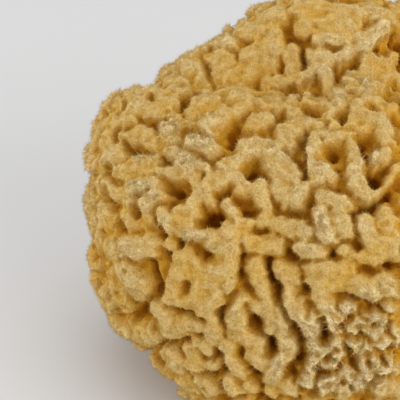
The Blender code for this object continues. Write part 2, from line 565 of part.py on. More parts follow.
def strewn_relief(skin, warped, wobble):
    """The height of folds strewn at random all over the bare form, with pits sunk into them."""
    skin_points, skin_normals = skin
    chance = np.random.default_rng(SEED)
    order = np.argsort(warped[:, 0])
    sorted_x = warped[order, 0]

    def close_to(spot, reach):
        """The points less than reach away from the spot on each axis."""
        first, last = np.searchsorted(sorted_x, (spot[0] - reach, spot[0] + reach))
        some = order[first:last]
        return some[np.abs(warped[some] - spot).max(axis=1) < reach]

    height = np.full(len(warped), -VALLEY_DEPTH)
    for centre in scattered(skin_points, FOLD_SPACING, chance):
        half_length = chance.uniform(*FOLD_HALF_LENGTHS)
        half_width = chance.uniform(*FOLD_HALF_WIDTHS)
        crest = chance.uniform(*FOLD_TOPS)
        way = np.cross(skin_normals[centre], chance.normal(size=3))
        way /= np.linalg.norm(way)
        near = close_to(skin_points[centre], half_length + half_width + VALLEY_DEPTH / FOLD_STEEPNESS)
        offset = warped[near] - skin_points[centre]
        along = np.clip(offset @ way, -half_length, half_length)
        gap = np.linalg.norm(offset - along[:, None] * way, axis=1) + 0.4 * wobble[near]
        height[near] = np.maximum(height[near], fold_height(gap, half_width, crest))
    deep = np.zeros(len(warped))
    for centre in scattered(skin_points, PIT_SPACING, chance):
        half_width = chance.uniform(*PIT_HALF_WIDTHS)
        half_height = half_width * chance.uniform(0.5, 1.0)
        depth = chance.uniform(*PIT_DEPTHS) * half_height / PIT_HALF_WIDTHS[1] + 1.5
        axis = skin_normals[centre]
        side = np.cross(axis, chance.normal(size=3))
        side /= np.linalg.norm(side)
        near = close_to(skin_points[centre], 1.5 * half_width)
        offset = warped[near] - skin_points[centre]
        share = np.hypot(offset @ side / half_width, offset @ np.cross(axis, side) / half_height)
        deep[near] = np.maximum(deep[near], pit_depth(share + 0.2 * wobble[near], depth))
    return height - deep


def raise_relief(piece, skin):
    """Raises the folds and lumps of the bare form and sinks its valleys, pits and clefts."""
    mesh = piece.data
    points = places(mesh)
    normals = outward(mesh)
    _, _, facing = sight_of(points, normals)
    front_spots = points.copy()
    warped = points.copy()
    for number, ((size, shift), front_share) in enumerate(zip(WARPS, FRONT_WARPS)):
        for axis in range(3):
            way = shift * lumpy(points, size, SEED + 30 + 3 * number + axis)
            warped[:, axis] += way
            front_spots[:, axis] += front_share * way
    across, up, _ = sight_of(front_spots, normals)
    wobble = lumpy(points, 2.6, SEED + 21) + 0.6 * lumpy(points, 1.3, SEED + 20)
    in_view = 1.0 - smooth_step(51.0, 57.0, np.maximum(abs(across), abs(up)))
    in_front = smooth_step(0.05, 0.3, facing) * in_view
    relief = np.zeros(len(points))
    front = in_front > 0.0
    relief[front] = in_front[front] * front_relief(across[front], up[front], wobble[front])
    grazed = GRAZING_SHARE * (1.0 - smooth_step(*GRAZING, facing))
    relief += (1.0 - in_front * (1.0 - grazed)) * strewn_relief(skin, warped, wobble)
    relief = np.maximum(relief, -DEEPEST)
    above = smooth_step(BASE_CLEAR, BASE_CLEAR + BASE_FADE, points[:, 2])
    rise = CREASE_RISE * (0.3 - abs(lumpy(points, CREASE_SIZE, SEED + 22)))
    for number, (size, height) in enumerate(LUMPS):
        rise += height * lumpy(points, size, SEED + 10 + number)
    move_to(mesh, points + normals * (rise + relief * above)[:, None])


def stand_over_origin(piece):
    """Moves the body sideways so that the middle of its box is over the origin."""
    mesh = piece.data
    points = places(mesh)
    middle = (points.min(axis=0) + points.max(axis=0)) / 2.0
    middle[2] = 0.0
    move_to(mesh, points - middle)


def keep_largest_shell(piece):
    """Removes any small shell left inside the body."""
    body = bmesh.new()
    body.from_mesh(piece.data)
    left = set(body.verts)
    shells = []
    while left:
        start = left.pop()
        shell = [start]
        queue = [start]
        while queue:
            for edge in queue.pop().link_edges:
                for vert in edge.verts:
                    if vert in left:
                        left.remove(vert)
                        shell.append(vert)
                        queue.append(vert)
        shells.append(shell)
    shells.sort(key=len)
    for shell in shells[:-1]:
        bmesh.ops.delete(body, geom=shell, context="VERTS")
    body.to_mesh(piece.data)
    body.free()


def cut_off_flat(piece, cutters):
    """Cuts the body off flat at z = 0, where it was taken off its rock."""
    depth = 0.05
    box = bmesh.new()
    place = Matrix.LocRotScale(Vector((0, 0, -depth / 2)), None, Vector((0.4, 0.4, depth)))
    bmesh.ops.create_cube(box, size=1.0, matrix=place)
    mesh = bpy.data.meshes.new("below the cut")
    box.to_mesh(mesh)
    box.free()
    cutter = bpy.data.objects.new("below the cut", mesh)
    cutters.objects.link(cutter)
    cutter.hide_render = True
    cutter.display_type = "WIRE"
    cut = piece.modifiers.new("Flat cut", "BOOLEAN")
    cut.operation = "DIFFERENCE"
    cut.object = cutter


def wool():
    """Bleached sponge fibre: ochre, dull, with no shine."""
    material = bpy.data.materials.new("wool_fibre")
    material.use_nodes = True
    shader = material.node_tree.nodes["Principled BSDF"]
    shader.inputs["Base Color"].default_value = (*WOOL_COLOUR, 1.0)
    shader.inputs["Roughness"].default_value = 0.95
    shader.inputs["Metallic"].default_value = 0.0
    return material


def build_sponge():
    """The whole sponge."""
    for old in list(bpy.data.objects):
        bpy.data.objects.remove(old)
    collection = bpy.data.collections.new("sea sponge")
    cutters = bpy.data.collections.new("cutters")
    bpy.context.scene.collection.children.link(collection)
    bpy.context.scene.collection.children.link(cutters)
    sponge = run_lobes_together(collection)
    skin = places(sponge.data), outward(sponge.data)
    make_finer(sponge, FORM_SUBDIVISIONS)
    raise_relief(sponge, skin)
    give_even_skin(sponge, BODY_GRID, 1)
    mesh = sponge.data
    move_to(mesh, places(mesh) + BODY_SWELL * outward(mesh))
    give_even_skin(sponge, BODY_GRID, BODY_SOFTENING)
    keep_largest_shell(sponge)
    fewer = sponge.modifiers.new("Fewer faces", "DECIMATE")
    fewer.use_collapse_triangulate = True
    fewer.ratio = TRIANGLES / (2 * len(sponge.data.polygons))
    settle(sponge)
    stand_over_origin(sponge)
    cut_off_flat(sponge, cutters)
    sponge.data.materials.clear()
    sponge.data.materials.append(wool())


build_sponge()
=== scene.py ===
import math

import bmesh
import bpy
import numpy as np
from mathutils import Matrix, Vector
from mathutils.bvhtree import BVHTree


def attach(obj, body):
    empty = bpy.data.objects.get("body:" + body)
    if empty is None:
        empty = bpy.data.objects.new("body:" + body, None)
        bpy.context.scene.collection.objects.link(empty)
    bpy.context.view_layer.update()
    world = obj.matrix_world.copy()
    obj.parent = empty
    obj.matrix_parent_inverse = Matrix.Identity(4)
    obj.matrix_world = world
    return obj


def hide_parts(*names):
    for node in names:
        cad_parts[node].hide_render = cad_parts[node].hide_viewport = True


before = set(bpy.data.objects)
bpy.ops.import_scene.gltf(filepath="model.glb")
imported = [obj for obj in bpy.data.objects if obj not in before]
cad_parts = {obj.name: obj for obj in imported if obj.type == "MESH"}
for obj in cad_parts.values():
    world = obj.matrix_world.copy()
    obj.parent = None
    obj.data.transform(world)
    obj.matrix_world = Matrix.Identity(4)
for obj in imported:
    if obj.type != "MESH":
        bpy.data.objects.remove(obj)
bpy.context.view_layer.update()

# The sponge's body. The real one is a single grown mass of springy fibre, felted into rounded
# lobes and folds, with round pits and narrow clefts all over. Here a few lobes are run together,
# and the relief is sunk into their skin. Lengths in this section are in millimetres.
MM = 0.001
SEED = 41
LOBES = (
    (-29, -8, 43, 45, 46, 44),
    (-49, 4, 58, 26, 30, 28),
    (-59, 5, 70, 14, 18, 14),
    (-50, -2, 37, 26, 38, 30),
    (2, -8, 44, 46, 52, 46),
    (-1, 31, 63, 43, 28, 43),
    (36, -4, 42, 39, 46, 42),
    (34, 21, 40, 34, 36, 44),
    (-32, 26, 54, 30, 30, 35),
    (-10, -25, 23, 49, 36, 29),
    (38, -14, 60, 26, 28, 27),
)
LOBE_GRID = 2.5
LOBE_SOFTENING = 20
FORM_SUBDIVISIONS = 2

# Lumps: size across, then how far they stand out
LUMPS = ((17.0, 1.8), (8.5, 0.7), (2.2, 0.45))
# Creases: low ridges with sharp crests, which wander over the lumps
CREASE_SIZE = 4.6
CREASE_RISE = 1.3
# How far the relief wanders off its round shapes: size across, then the shift; less in the front
WARPS = ((6.0, 1.6), (2.6, 0.8), (1.5, 0.35))
FRONT_WARPS = (0.3, 0.8, 1.0)

# Folds: round crests with steep sides, which stand up out of valleys, and pits sunk into them
VALLEY_DEPTH = 5.4
FRONT_VALLEY_DEPTH = 4.4
DEEPEST = 9.5
FOLD_STEEPNESS = 3.2
FOLD_SPACING = 7.2
FOLD_HALF_LENGTHS = (0.5, 4.8)
FOLD_HALF_WIDTHS = (1.6, 3.5)
FOLD_TOPS = (-1.8, 0.8)
PIT_SPACING = 9.5
PIT_HALF_WIDTHS = (1.8, 4.0)
PIT_DEPTHS = (3.0, 6.5)
# How far from the cut the relief starts, and over what height it grows to its full depth
BASE_CLEAR = 1.5
BASE_FADE = 5.0
# The noise that frays every edge: sizes across, and the share of the finer one
WOBBLE_SIZES = (2.6, 1.3)
FINE_WOBBLE = 0.6
STREWN_FRAY = 0.4
PIT_WOBBLE = 0.2
CLEFT_WOBBLE = 0.25

# The front is laid out from the camera's line of sight: places are across and up from it
SIGHT_AIM = (-41.5, -38.0, 71.0)
SIGHT_DISTANCE = 420.0
SIGHT_TILT = math.radians(28)
# The layout fades out between these distances across or up from the aim
LAYOUT_EDGE = (51.0, 57.0)
# Where the line of sight only grazes the skin, strewn relief takes a share of the front's place
GRAZING = (0.25, 0.65)
GRAZING_SHARE = 0.4

# Front folds: half width, height of the crest, then the places that each runs through
FRONT_FOLDS = (
    (3.7, 0.3, ((11.5, 50.7), (19.2, 50.7))),
    (3.2, 0.0, ((11.5, 46.4), (18.1, 45.9))),
    (3.7, 0.2, ((26.7, 52.3), (40.5, 51.7))),
    (3.5, 0.0, ((28.3, 47.5), (39.5, 47.5))),
    (2.9, 0.0, ((45.9, 51.2), (53.3, 50.1))),
    (1.9, 0.8, ((2.4, 42.7), (7.5, 42.1))),
    (2.4, 0.0, ((-3.7, 40.0), (-0.3, 39.7))),
    (2.4, 0.3, ((-3.5, 35.7), (-0.8, 34.7), (2.1, 30.9))),
    (3.2, 0.0, ((4.8, 38.1), (8.0, 33.6))),
    (1.6, 0.0, ((-13.3, 33.1), (-7.5, 34.9))),
    (1.2, 0.3, ((-19.2, 28.8), (-13.3, 29.3), (-7.5, 31.2), (-3.2, 33.3))),
    (2.1, 0.0, ((-5.1, 30.4), (-2.7, 32.5))),
    (2.4, 0.0, ((-23.5, 26.9), (-26.4, 22.9))),
    (2.4, 0.3, ((-17.6, 25.3), (-10.7, 25.1))),
    (1.6, 0.2, ((-10.7, 27.7), (-7.5, 27.2))),
    (1.5, 0.0, ((-8.5, 24.8), (-3.2, 20.3))),
    (2.0, 0.3, ((-2.4, 24.5), (1.6, 27.2), (7.5, 29.1), (11.5, 30.9))),
    (2.1, 0.3, ((1.6, 21.1), (6.4, 24.3))),
    (1.6, -0.5, ((7.5, 25.1), (10.7, 25.6))),
    (2.5, 0.3, ((-19.7, 16.8), (-14.9, 18.4))),
    (2.1, -0.3, ((-14.4, 16.5), (-11.7, 15.5))),
    (2.3, 1.2, ((-8.5, 19.7), (-7.5, 14.4))),
    (2.0, 0.8, ((-2.4, 15.5), (2.1, 14.4))),
    (2.3, 0.0, ((-26.4, 21.3), (-27.5, 14.4))),
    (1.9, 0.0, ((-23.2, 21.6), (-19.7, 22.1))),
    (2.7, 0.0, ((-26.7, 11.7), (-22.9, 12.5))),
    (3.2, 0.2, ((12.8, 38.7), (18.9, 41.1))),
    (2.9, 0.1, ((13.3, 35.7), (18.1, 36.8))),
    (2.3, 0.0, ((24.3, 40.0), (24.0, 35.5))),
    (1.9, 0.3, ((31.7, 43.7), (36.3, 42.4))),
    (1.9, 0.0, ((29.6, 38.7), (34.7, 37.9))),
    (1.7, 0.5, ((36.0, 37.3), (40.5, 39.7), (44.8, 42.1), (48.8, 46.7))),
    (1.3, 0.0, ((37.9, 42.9), (45.3, 44.0))),
    (1.6, 0.0, ((44.3, 37.6), (48.0, 37.9))),
    (1.6, 0.0, ((49.6, 36.5), (52.8, 38.1))),
    (1.3, 0.2, ((26.9, 33.1), (29.9, 35.2), (33.1, 35.2), (34.9, 32.8))),
    (0.9, 0.0, ((16.5, 32.3), (26.7, 32.8))),
    (1.2, 0.0, ((33.9, 32.0), (36.0, 28.8))),
    (2.4, 0.3, ((40.8, 32.3), (45.1, 30.9))),
    (1.9, 0.0, ((44.3, 34.4), (46.9, 34.7))),
    (2.1, 0.0, ((49.1, 33.1), (52.3, 34.1))),
    (1.5, 0.6, ((36.5, 28.3), (37.3, 25.6))),
    (1.9, 0.0, ((40.5, 26.9), (45.1, 27.7))),
    (1.6, 0.0, ((48.0, 27.2), (52.0, 26.7))),
    (0.9, 0.3, ((28.3, 26.9), (32.5, 27.7), (34.9, 24.0))),
    (1.3, -0.3, ((34.1, 22.4), (35.7, 20.8))),
    (2.7, 0.0, ((40.8, 22.7), (44.8, 21.9))),
    (2.4, 0.2, ((47.7, 22.4), (49.9, 17.1))),
    (2.4, 0.2, ((12.3, 28.5), (24.0, 27.7))),
    (1.9, 0.0, ((24.8, 26.1), (25.9, 20.3))),
    (1.9, 0.0, ((14.1, 21.9), (17.6, 22.4))),
    (2.1, 0.0, ((23.5, 20.8), (22.4, 16.0))),
    (1.6, 0.0, ((28.3, 21.6), (31.5, 20.5))),
    (1.6, 0.2, ((31.5, 17.9), (38.9, 18.7))),
    (1.6, 0.2, ((40.0, 17.9), (41.9, 10.7))),
    (1.6, 0.2, ((30.1, 16.0), (28.8, 11.2), (31.2, 5.3))),
    (2.3, 0.4, ((12.3, 13.6), (15.5, 14.1), (19.2, 13.3), (21.9, 11.2))),
    (2.4, 0.0, ((18.7, 10.7), (23.5, 5.9))),
    (1.6, 0.0, ((23.5, 8.5), (25.6, 6.4))),
    (2.1, 0.3, ((27.2, 4.3), (25.6, 0.0))),
    (1.6, 0.1, ((10.7, 3.2), (14.1, 2.9))),
    (1.6, 0.3, ((15.5, 3.7), (17.1, -1.1))),
    (2.1, 0.4, ((17.1, -5.1), (28.3, -8.5))),
    (1.6, 0.0, ((10.1, -5.9), (13.3, -6.4))),
    (2.7, 0.2, ((12.3, -11.2), (19.7, -12.3))),
    (2.1, 0.2, ((31.7, -3.2), (34.1, -9.6))),
    (2.1, 0.2, ((26.4, -13.3), (31.5, -14.4))),
    (2.4, 0.0, ((37.3, -3.7), (38.7, -8.0))),
    (1.9, 0.0, ((32.5, 1.1), (38.7, -1.1))),
    (2.1, 0.2, ((41.6, 5.3), (45.3, 1.6))),
    (1.6, 0.0, ((32.8, 8.5), (33.9, 6.4))),
    (1.7, 0.0, ((40.5, 8.5), (41.6, 5.9))),
    (1.5, 0.5, ((45.1, 10.7), (49.6, 12.3))),
    (1.3, 0.2, ((47.5, 2.4), (50.4, 6.1), (53.9, 9.1))),
    (2.4, 0.4, ((43.5, -5.9), (46.4, -11.7))),
    (2.7, 0.4, ((49.6, -4.3), (53.3, -9.6))),
    (2.4, 0.6, ((49.1, -11.7), (53.3, -14.4))),
    (1.6, 0.0, ((37.1, -12.5), (40.5, -14.9))),
    (2.7, 0.0, ((29.3, -19.2), (38.7, -18.7))),
    (2.4, 0.0, ((21.3, -18.7), (23.7, -21.3))),
    (1.9, 0.0, ((14.4, -17.1), (16.5, -25.1))),
    (2.9, 0.5, ((41.9, -22.9), (46.9, -24.0))),
    (2.7, 0.6, ((49.6, -22.4), (53.9, -24.5))),
    (2.1, 0.0, ((44.3, -15.5), (47.5, -16.5))),
    (1.3, 0.4, ((-17.9, 10.4), (-12.3, 11.2))),
    (1.9, 0.0, ((-22.4, 7.5), (-13.3, 8.3))),
    (1.9, 0.8, ((-18.7, 3.5), (-13.3, 4.5))),
    (1.6, 0.6, ((-15.2, -1.1), (-11.2, 2.1))),
    (2.4, 1.2, ((-4.0, 9.3), (-3.2, 8.5))),
    (1.1, 0.8, ((-4.3, 10.7), (-7.7, 12.5))),
    (1.1, 0.7, ((-2.7, 11.2), (-3.5, 13.6))),
    (1.2, 0.8, ((-1.9, 9.9), (1.9, 8.3))),
    (1.3, 0.8, ((-2.4, 7.5), (-1.1, 4.3))),
    (1.1, 0.6, ((-5.3, 7.5), (-10.7, 7.5))),
    (1.9, 0.2, ((4.3, 8.5), (9.6, 10.7))),
    (2.1, 0.1, ((5.9, 7.5), (10.1, 5.9))),
    (1.3, 0.5, ((1.1, 3.5), (2.7, -0.5))),
    (2.1, 0.1, ((20.8, 3.7), (22.4, 0.5))),
    (2.4, 0.1, ((6.9, -7.5), (9.6, -10.7))),
    (1.9, 0.2, ((7.7, -16.5), (8.3, -24.0))),
    (1.3, 0.0, ((1.1, 5.9), (5.9, 5.1))),
    (1.9, 0.8, ((0.8, 3.2), (-2.4, -1.1))),
    (1.3, 0.2, ((-6.4, -1.9), (-1.1, -2.9))),
    (1.1, 0.3, ((6.4, -0.3), (8.8, -3.7))),
    (1.6, 0.8, ((-10.9, -3.5), (-7.5, -7.5))),
    (1.3, 0.6, ((-7.5, -8.3), (0.5, -9.6))),
    (1.9, 0.2, ((-8.5, -5.6), (-3.7, -6.1))),
    (1.3, 0.0, ((-25.9, 4.3), (-24.0, 1.6))),
    (1.9, 0.0, ((-22.1, 2.4), (-20.3, 0.0))),
    (1.9, -0.8, ((-15.7, -2.9), (-13.9, -8.5))),
    (1.6, -0.8, ((-21.6, -3.2), (-19.2, -6.9))),
    (1.9, 0.0, ((-27.2, -1.6), (-26.1, -6.9))),
    (2.9, 0.2, ((-20.0, -12.3), (-13.9, -12.3))),
    (2.4, 0.0, ((-26.7, -10.9), (-23.7, -14.9))),
    (3.7, 0.0, ((-22.9, -19.2), (-18.1, -24.0))),
    (1.6, 0.3, ((-9.3, -12.0), (-8.5, -12.0))),
    (3.2, 0.2, ((-5.1, -15.2), (-7.2, -26.1))),
    (4.3, 0.2, ((4.0, -19.2), (1.6, -26.7))),
    (3.5, 0.0, ((-2.7, -18.1), (-2.1, -27.7))),
    (3.2, 0.0, ((3.2, -10.7), (8.0, -12.8))),
    (2.1, 0.0, ((-29.3, 8.0), (-28.8, 0.0))),
    (2.1, 0.0, ((-29.3, -8.0), (-28.8, -16.5))),
    (2.1, 0.0, ((-23.5, -33.6), (-20.3, -36.3))),
    (1.9, 0.0, ((-17.1, -36.0), (-13.3, -37.1))),
    (2.1, 0.3, ((-11.5, -29.1), (-9.1, -34.7))),
    (2.7, 0.2, ((-7.5, -34.9), (-1.6, -33.9))),
    (1.3, 0.2, ((-9.1, -26.7), (-3.7, -29.6), (2.1, -31.2))),
    (2.4, 0.0, ((2.1, -32.5), (3.2, -36.8))),
    (2.1, 0.0, ((-9.1, -41.6), (-6.7, -44.8))),
    (1.9, 0.0, ((-3.7, -40.8), (-1.3, -45.6))),
    (1.3, 0.0, ((-1.9, -39.2), (1.6, -40.5))),
    (1.3, 0.5, ((1.6, -44.3), (3.7, -44.8))),
    (1.6, 0.0, ((-0.5, -49.1), (2.7, -51.7))),
    (1.6, 0.0, ((6.9, -49.1), (8.5, -51.2))),
    (1.6, 0.2, ((6.7, -38.9), (8.0, -42.7))),
    (2.7, 0.2, ((9.1, -29.1), (10.1, -36.0))),
    (1.6, 0.0, ((-5.9, -48.5), (-2.1, -52.5))),
    (1.9, 0.0, ((8.5, -44.8), (10.7, -46.7))),
    (3.2, 0.0, ((-25.6, -24.5), (-22.4, -28.8))),
    (1.6, 0.0, ((17.1, -27.7), (18.1, -34.1))),
    (1.3, 0.2, ((10.9, -26.9), (14.9, -28.5))),
    (2.4, 0.0, ((12.3, -37.6), (15.2, -40.0))),
    (2.4, 0.0, ((13.6, -41.6), (16.5, -43.7))),
    (2.1, 0.1, ((21.1, -33.6), (23.5, -39.5))),
    (1.1, -0.4, ((19.7, -29.9), (21.1, -33.6))),
    (1.6, 0.8, ((21.9, -42.4), (18.9, -47.7))),
    (1.9, 0.0, ((12.3, -51.2), (13.3, -52.8))),
    (1.6, 0.0, ((22.9, -26.4), (25.6, -29.6))),
    (2.1, 0.2, ((26.7, -28.8), (29.9, -34.7))),
    (3.2, 0.1, ((30.4, -22.4), (36.8, -21.9))),
    (1.3, 0.3, ((23.5, -24.5), (24.5, -29.9))),
    (2.4, 0.0, ((31.7, -24.5), (33.6, -30.9))),
    (2.4, 0.2, ((49.1, -50.9), (52.3, -51.7))),
    (2.4, -0.3, ((18.7, -51.2), (24.0, -51.2))),
    (1.9, 0.6, ((38.9, -28.8), (40.0, -29.9))),
    (1.2, 0.2, ((37.1, -31.2), (37.3, -32.0))),
    (1.3, 0.4, ((34.9, -32.3), (35.5, -33.6))),
    (1.2, 0.2, ((41.9, -32.0), (42.7, -33.1))),
    (1.2, 0.3, ((36.3, -35.7), (37.1, -36.5))),
    (1.6, 0.5, ((46.9, -32.0), (49.1, -32.8))),
    (1.5, 0.3, ((46.1, -36.5), (48.3, -35.7))),
    (1.3, 0.2, ((52.3, -34.7), (53.3, -36.3))),
    (1.2, 0.2, ((40.0, -34.9), (41.1, -35.7))),
    (1.2, 0.0, ((44.0, -34.1), (44.8, -34.7))),
    (1.3, 0.5, ((40.8, -39.2), (42.1, -39.7))),
    (1.2, 0.5, ((32.5, -40.3), (34.7, -39.5))),
    (1.2, 0.3, ((37.3, -38.9), (37.6, -40.0))),
    (1.2, 0.2, ((45.1, -40.0), (45.9, -41.1))),
    (1.3, 0.3, ((48.5, -39.2), (49.6, -38.4))),
    (1.2, 0.6, ((29.9, -38.7), (30.9, -39.7))),
    (1.2, 0.5, ((29.9, -42.4), (32.0, -43.5))),
    (1.5, 0.7, ((34.1, -44.8), (36.8, -42.9))),
    (1.5, 0.4, ((38.7, -46.4), (40.0, -47.5))),
    (1.2, 0.4, ((43.2, -43.7), (44.5, -45.1))),
    (1.2, 0.5, ((46.9, -44.3), (48.8, -45.6))),
    (1.2, 0.3, ((50.9, -44.5), (52.0, -46.1))),
    (1.6, 0.5, ((42.1, -50.1), (44.3, -47.7))),
    (1.7, 0.6, ((33.1, -50.1), (35.7, -48.3))),
    (1.3, 0.3, ((27.7, -45.6), (29.3, -49.1))),
    (1.3, 0.1, ((52.8, -39.5), (53.9, -41.1))),
    (1.6, 0.0, ((37.9, -51.2), (39.2, -52.8))),
    (1.1, 0.2, ((51.2, -29.1), (53.3, -29.9))),
    (0.9, 0.0, ((43.7, -30.4), (44.3, -31.5))),
)

# Front pits: across, up, half width, half height, turn in degrees, depth
FRONT_PITS = (
    (2.9, -4.3, 4.4, 2.9, -5, 5.5),
    (14.7, 7.7, 3.5, 2.4, 15, 5.0),
    (9.1, 19.2, 2.4, 3.5, -20, 4.5),
    (-3.7, 9.1, 1.2, 0.8, 20, 1.6),
    (-8.5, 3.2, 2.7, 1.5, 0, 3.0),
    (3.2, 9.1, 1.3, 1.2, 0, 2.5),
    (10.1, 0.8, 1.6, 1.3, 0, 3.5),
    (12.5, -2.7, 1.6, 1.3, 0, 2.5),
    (-19.7, 14.4, 1.2, 3.2, 40, 3.5),
    (-4.3, 27.2, 1.5, 2.3, 10, 4.5),
    (-2.7, 18.9, 2.8, 1.7, 0, 6.0),
    (-9.6, 21.6, 2.0, 0.8, 0, 3.0),
    (-8.8, 10.1, 1.3, 0.8, 20, 1.8),
    (-13.9, 20.8, 1.2, 0.8, 0, 2.0),
    (-9.1, 21.9, 1.2, 0.8, 0, 2.0),
    (-11.7, 31.2, 2.4, 0.8, -5, 2.5),
    (-13.3, 27.7, 1.1, 0.8, 0, 1.8),
    (-21.9, 5.6, 1.3, 0.8, 0, 1.5),
    (-25.9, 0.3, 1.2, 2.1, 0, 2.0),
    (-18.4, -2.4, 1.6, 2.1, 0, 3.5),
    (-22.7, -6.9, 2.1, 1.7, 0, 3.5),
    (-13.6, -7.7, 1.6, 1.6, 0, 2.0),
    (29.3, 30.4, 3.2, 1.9, -10, 4.5),
    (35.5, 40.8, 2.4, 0.8, -4, 2.5),
    (47.7, 40.5, 1.3, 2.0, 0, 3.0),
    (52.8, 43.5, 1.1, 2.4, 0, 4.5),
    (22.7, 43.7, 0.9, 1.9, 0, 3.0),
    (30.4, 47.2, 0.8, 1.1, 20, 2.0),
    (34.7, 14.1, 1.7, 1.9, 0, 3.0),
    (37.1, 9.6, 1.2, 0.9, 0, 2.5),
    (36.0, 3.7, 2.3, 0.9, 5, 3.5),
    (46.9, 5.9, 2.3, 2.9, 0, 7.5),
    (50.9, 3.2, 1.9, 2.0, 0, 4.0),
    (28.8, 25.1, 2.1, 1.1, -30, 3.5),
    (38.1, 23.2, 1.5, 2.1, -40, 5.5),
    (50.9, 30.1, 1.9, 1.9, 0, 4.0),
    (45.9, 25.9, 1.9, 0.9, 0, 3.0),
    (42.7, 17.6, 2.4, 1.7, 0, 3.0),
    (52.3, 17.6, 1.3, 1.1, 0, 3.0),
    (16.8, -8.0, 2.1, 1.1, 0, 2.5),
    (26.1, -2.7, 2.9, 0.8, -8, 1.8),
    (20.8, -1.1, 1.5, 0.9, 0, 2.0),
    (23.7, -14.7, 1.3, 2.4, 0, 2.5),
    (1.9, -15.7, 3.5, 1.6, -15, 2.2),
    (2.1, -24.5, 2.1, 1.1, 0, 1.0),
    (-4.8, -23.5, 2.1, 2.0, 0, 3.5),
    (-5.1, -25.3, 1.9, 0.9, 20, 2.0),
    (-15.7, -32.0, 3.5, 2.1, -8, 4.5),
    (-19.5, -27.2, 1.1, 2.1, 20, 3.0),
    (-22.9, -30.9, 1.1, 2.0, 0, 2.5),
    (15.5, -33.3, 2.7, 2.0, 0, 3.5),
    (12.0, -28.8, 1.1, 1.3, 30, 2.0),
    (19.5, -38.4, 1.6, 1.9, 0, 4.5),
    (27.7, -24.3, 1.6, 2.1, 20, 6.5),
    (28.3, -29.1, 1.1, 2.7, 10, 3.5),
    (32.5, -33.1, 1.1, 1.7, 0, 3.5),
    (32.5, -37.9, 1.6, 0.8, 30, 3.5),
    (49.3, -6.1, 1.6, 0.9, 0, 1.2),
    (50.7, -18.4, 2.7, 0.8, 0, 2.0),
    (5.3, -51.2, 1.1, 1.5, 0, 4.5),
    (5.6, -45.6, 1.6, 1.9, 0, 4.5),
    (1.1, -47.2, 3.2, 1.2, 0, 3.5),
    (27.7, -52.5, 1.2, 0.9, 0, 4.0),
    (14.4, -46.9, 2.4, 1.5, -25, 5.5),
    (16.5, -51.2, 1.2, 1.6, 0, 3.0),
    (39.2, -2.4, 0.8, 0.8, 0, 1.8),
    (5.6, 1.6, 2.1, 1.6, 0, 1.2),
    (28.3, 18.7, 1.1, 1.3, 0, 2.5),
    (15.2, 24.5, 0.8, 0.7, 0, 1.4),
    (20.8, 24.3, 0.9, 0.7, 0, 1.6),
    (21.9, 22.1, 0.8, 0.7, 0, 1.6),
    (16.8, 18.7, 1.3, 0.9, 0, 2.2),
    (11.2, 19.5, 0.8, 1.1, 0, 2.0),
    (-18.7, -12.5, 0.5, 0.4, 0, 1.0),
    (-20.8, -16.8, 0.5, 0.5, 0, 1.0),
    (-19.5, -18.7, 0.5, 0.5, 0, 1.2),
    (-15.2, -17.1, 0.7, 0.5, 0, 1.2),
    (26.7, -44.5, 1.2, 2.9, -10, 3.5),
    (31.5, -45.9, 1.2, 1.1, 0, 3.0),
    (41.1, -42.1, 2.1, 0.8, -5, 3.0),
    (47.2, -41.9, 2.1, 0.7, 10, 3.0),
    (48.3, -47.5, 2.4, 0.8, 8, 2.5),
    (41.3, -27.5, 2.1, 0.8, -35, 3.0),
    (44.3, -30.1, 1.6, 0.9, -20, 2.5),
    (-22.4, 24.0, 0.8, 1.1, 0, 1.5),
    (33.6, 21.6, 1.1, 1.1, 0, 2.0),
    (4.5, -41.3, 1.9, 1.2, 10, 3.5),
    (9.9, -41.9, 1.3, 1.1, 0, 3.0),
)

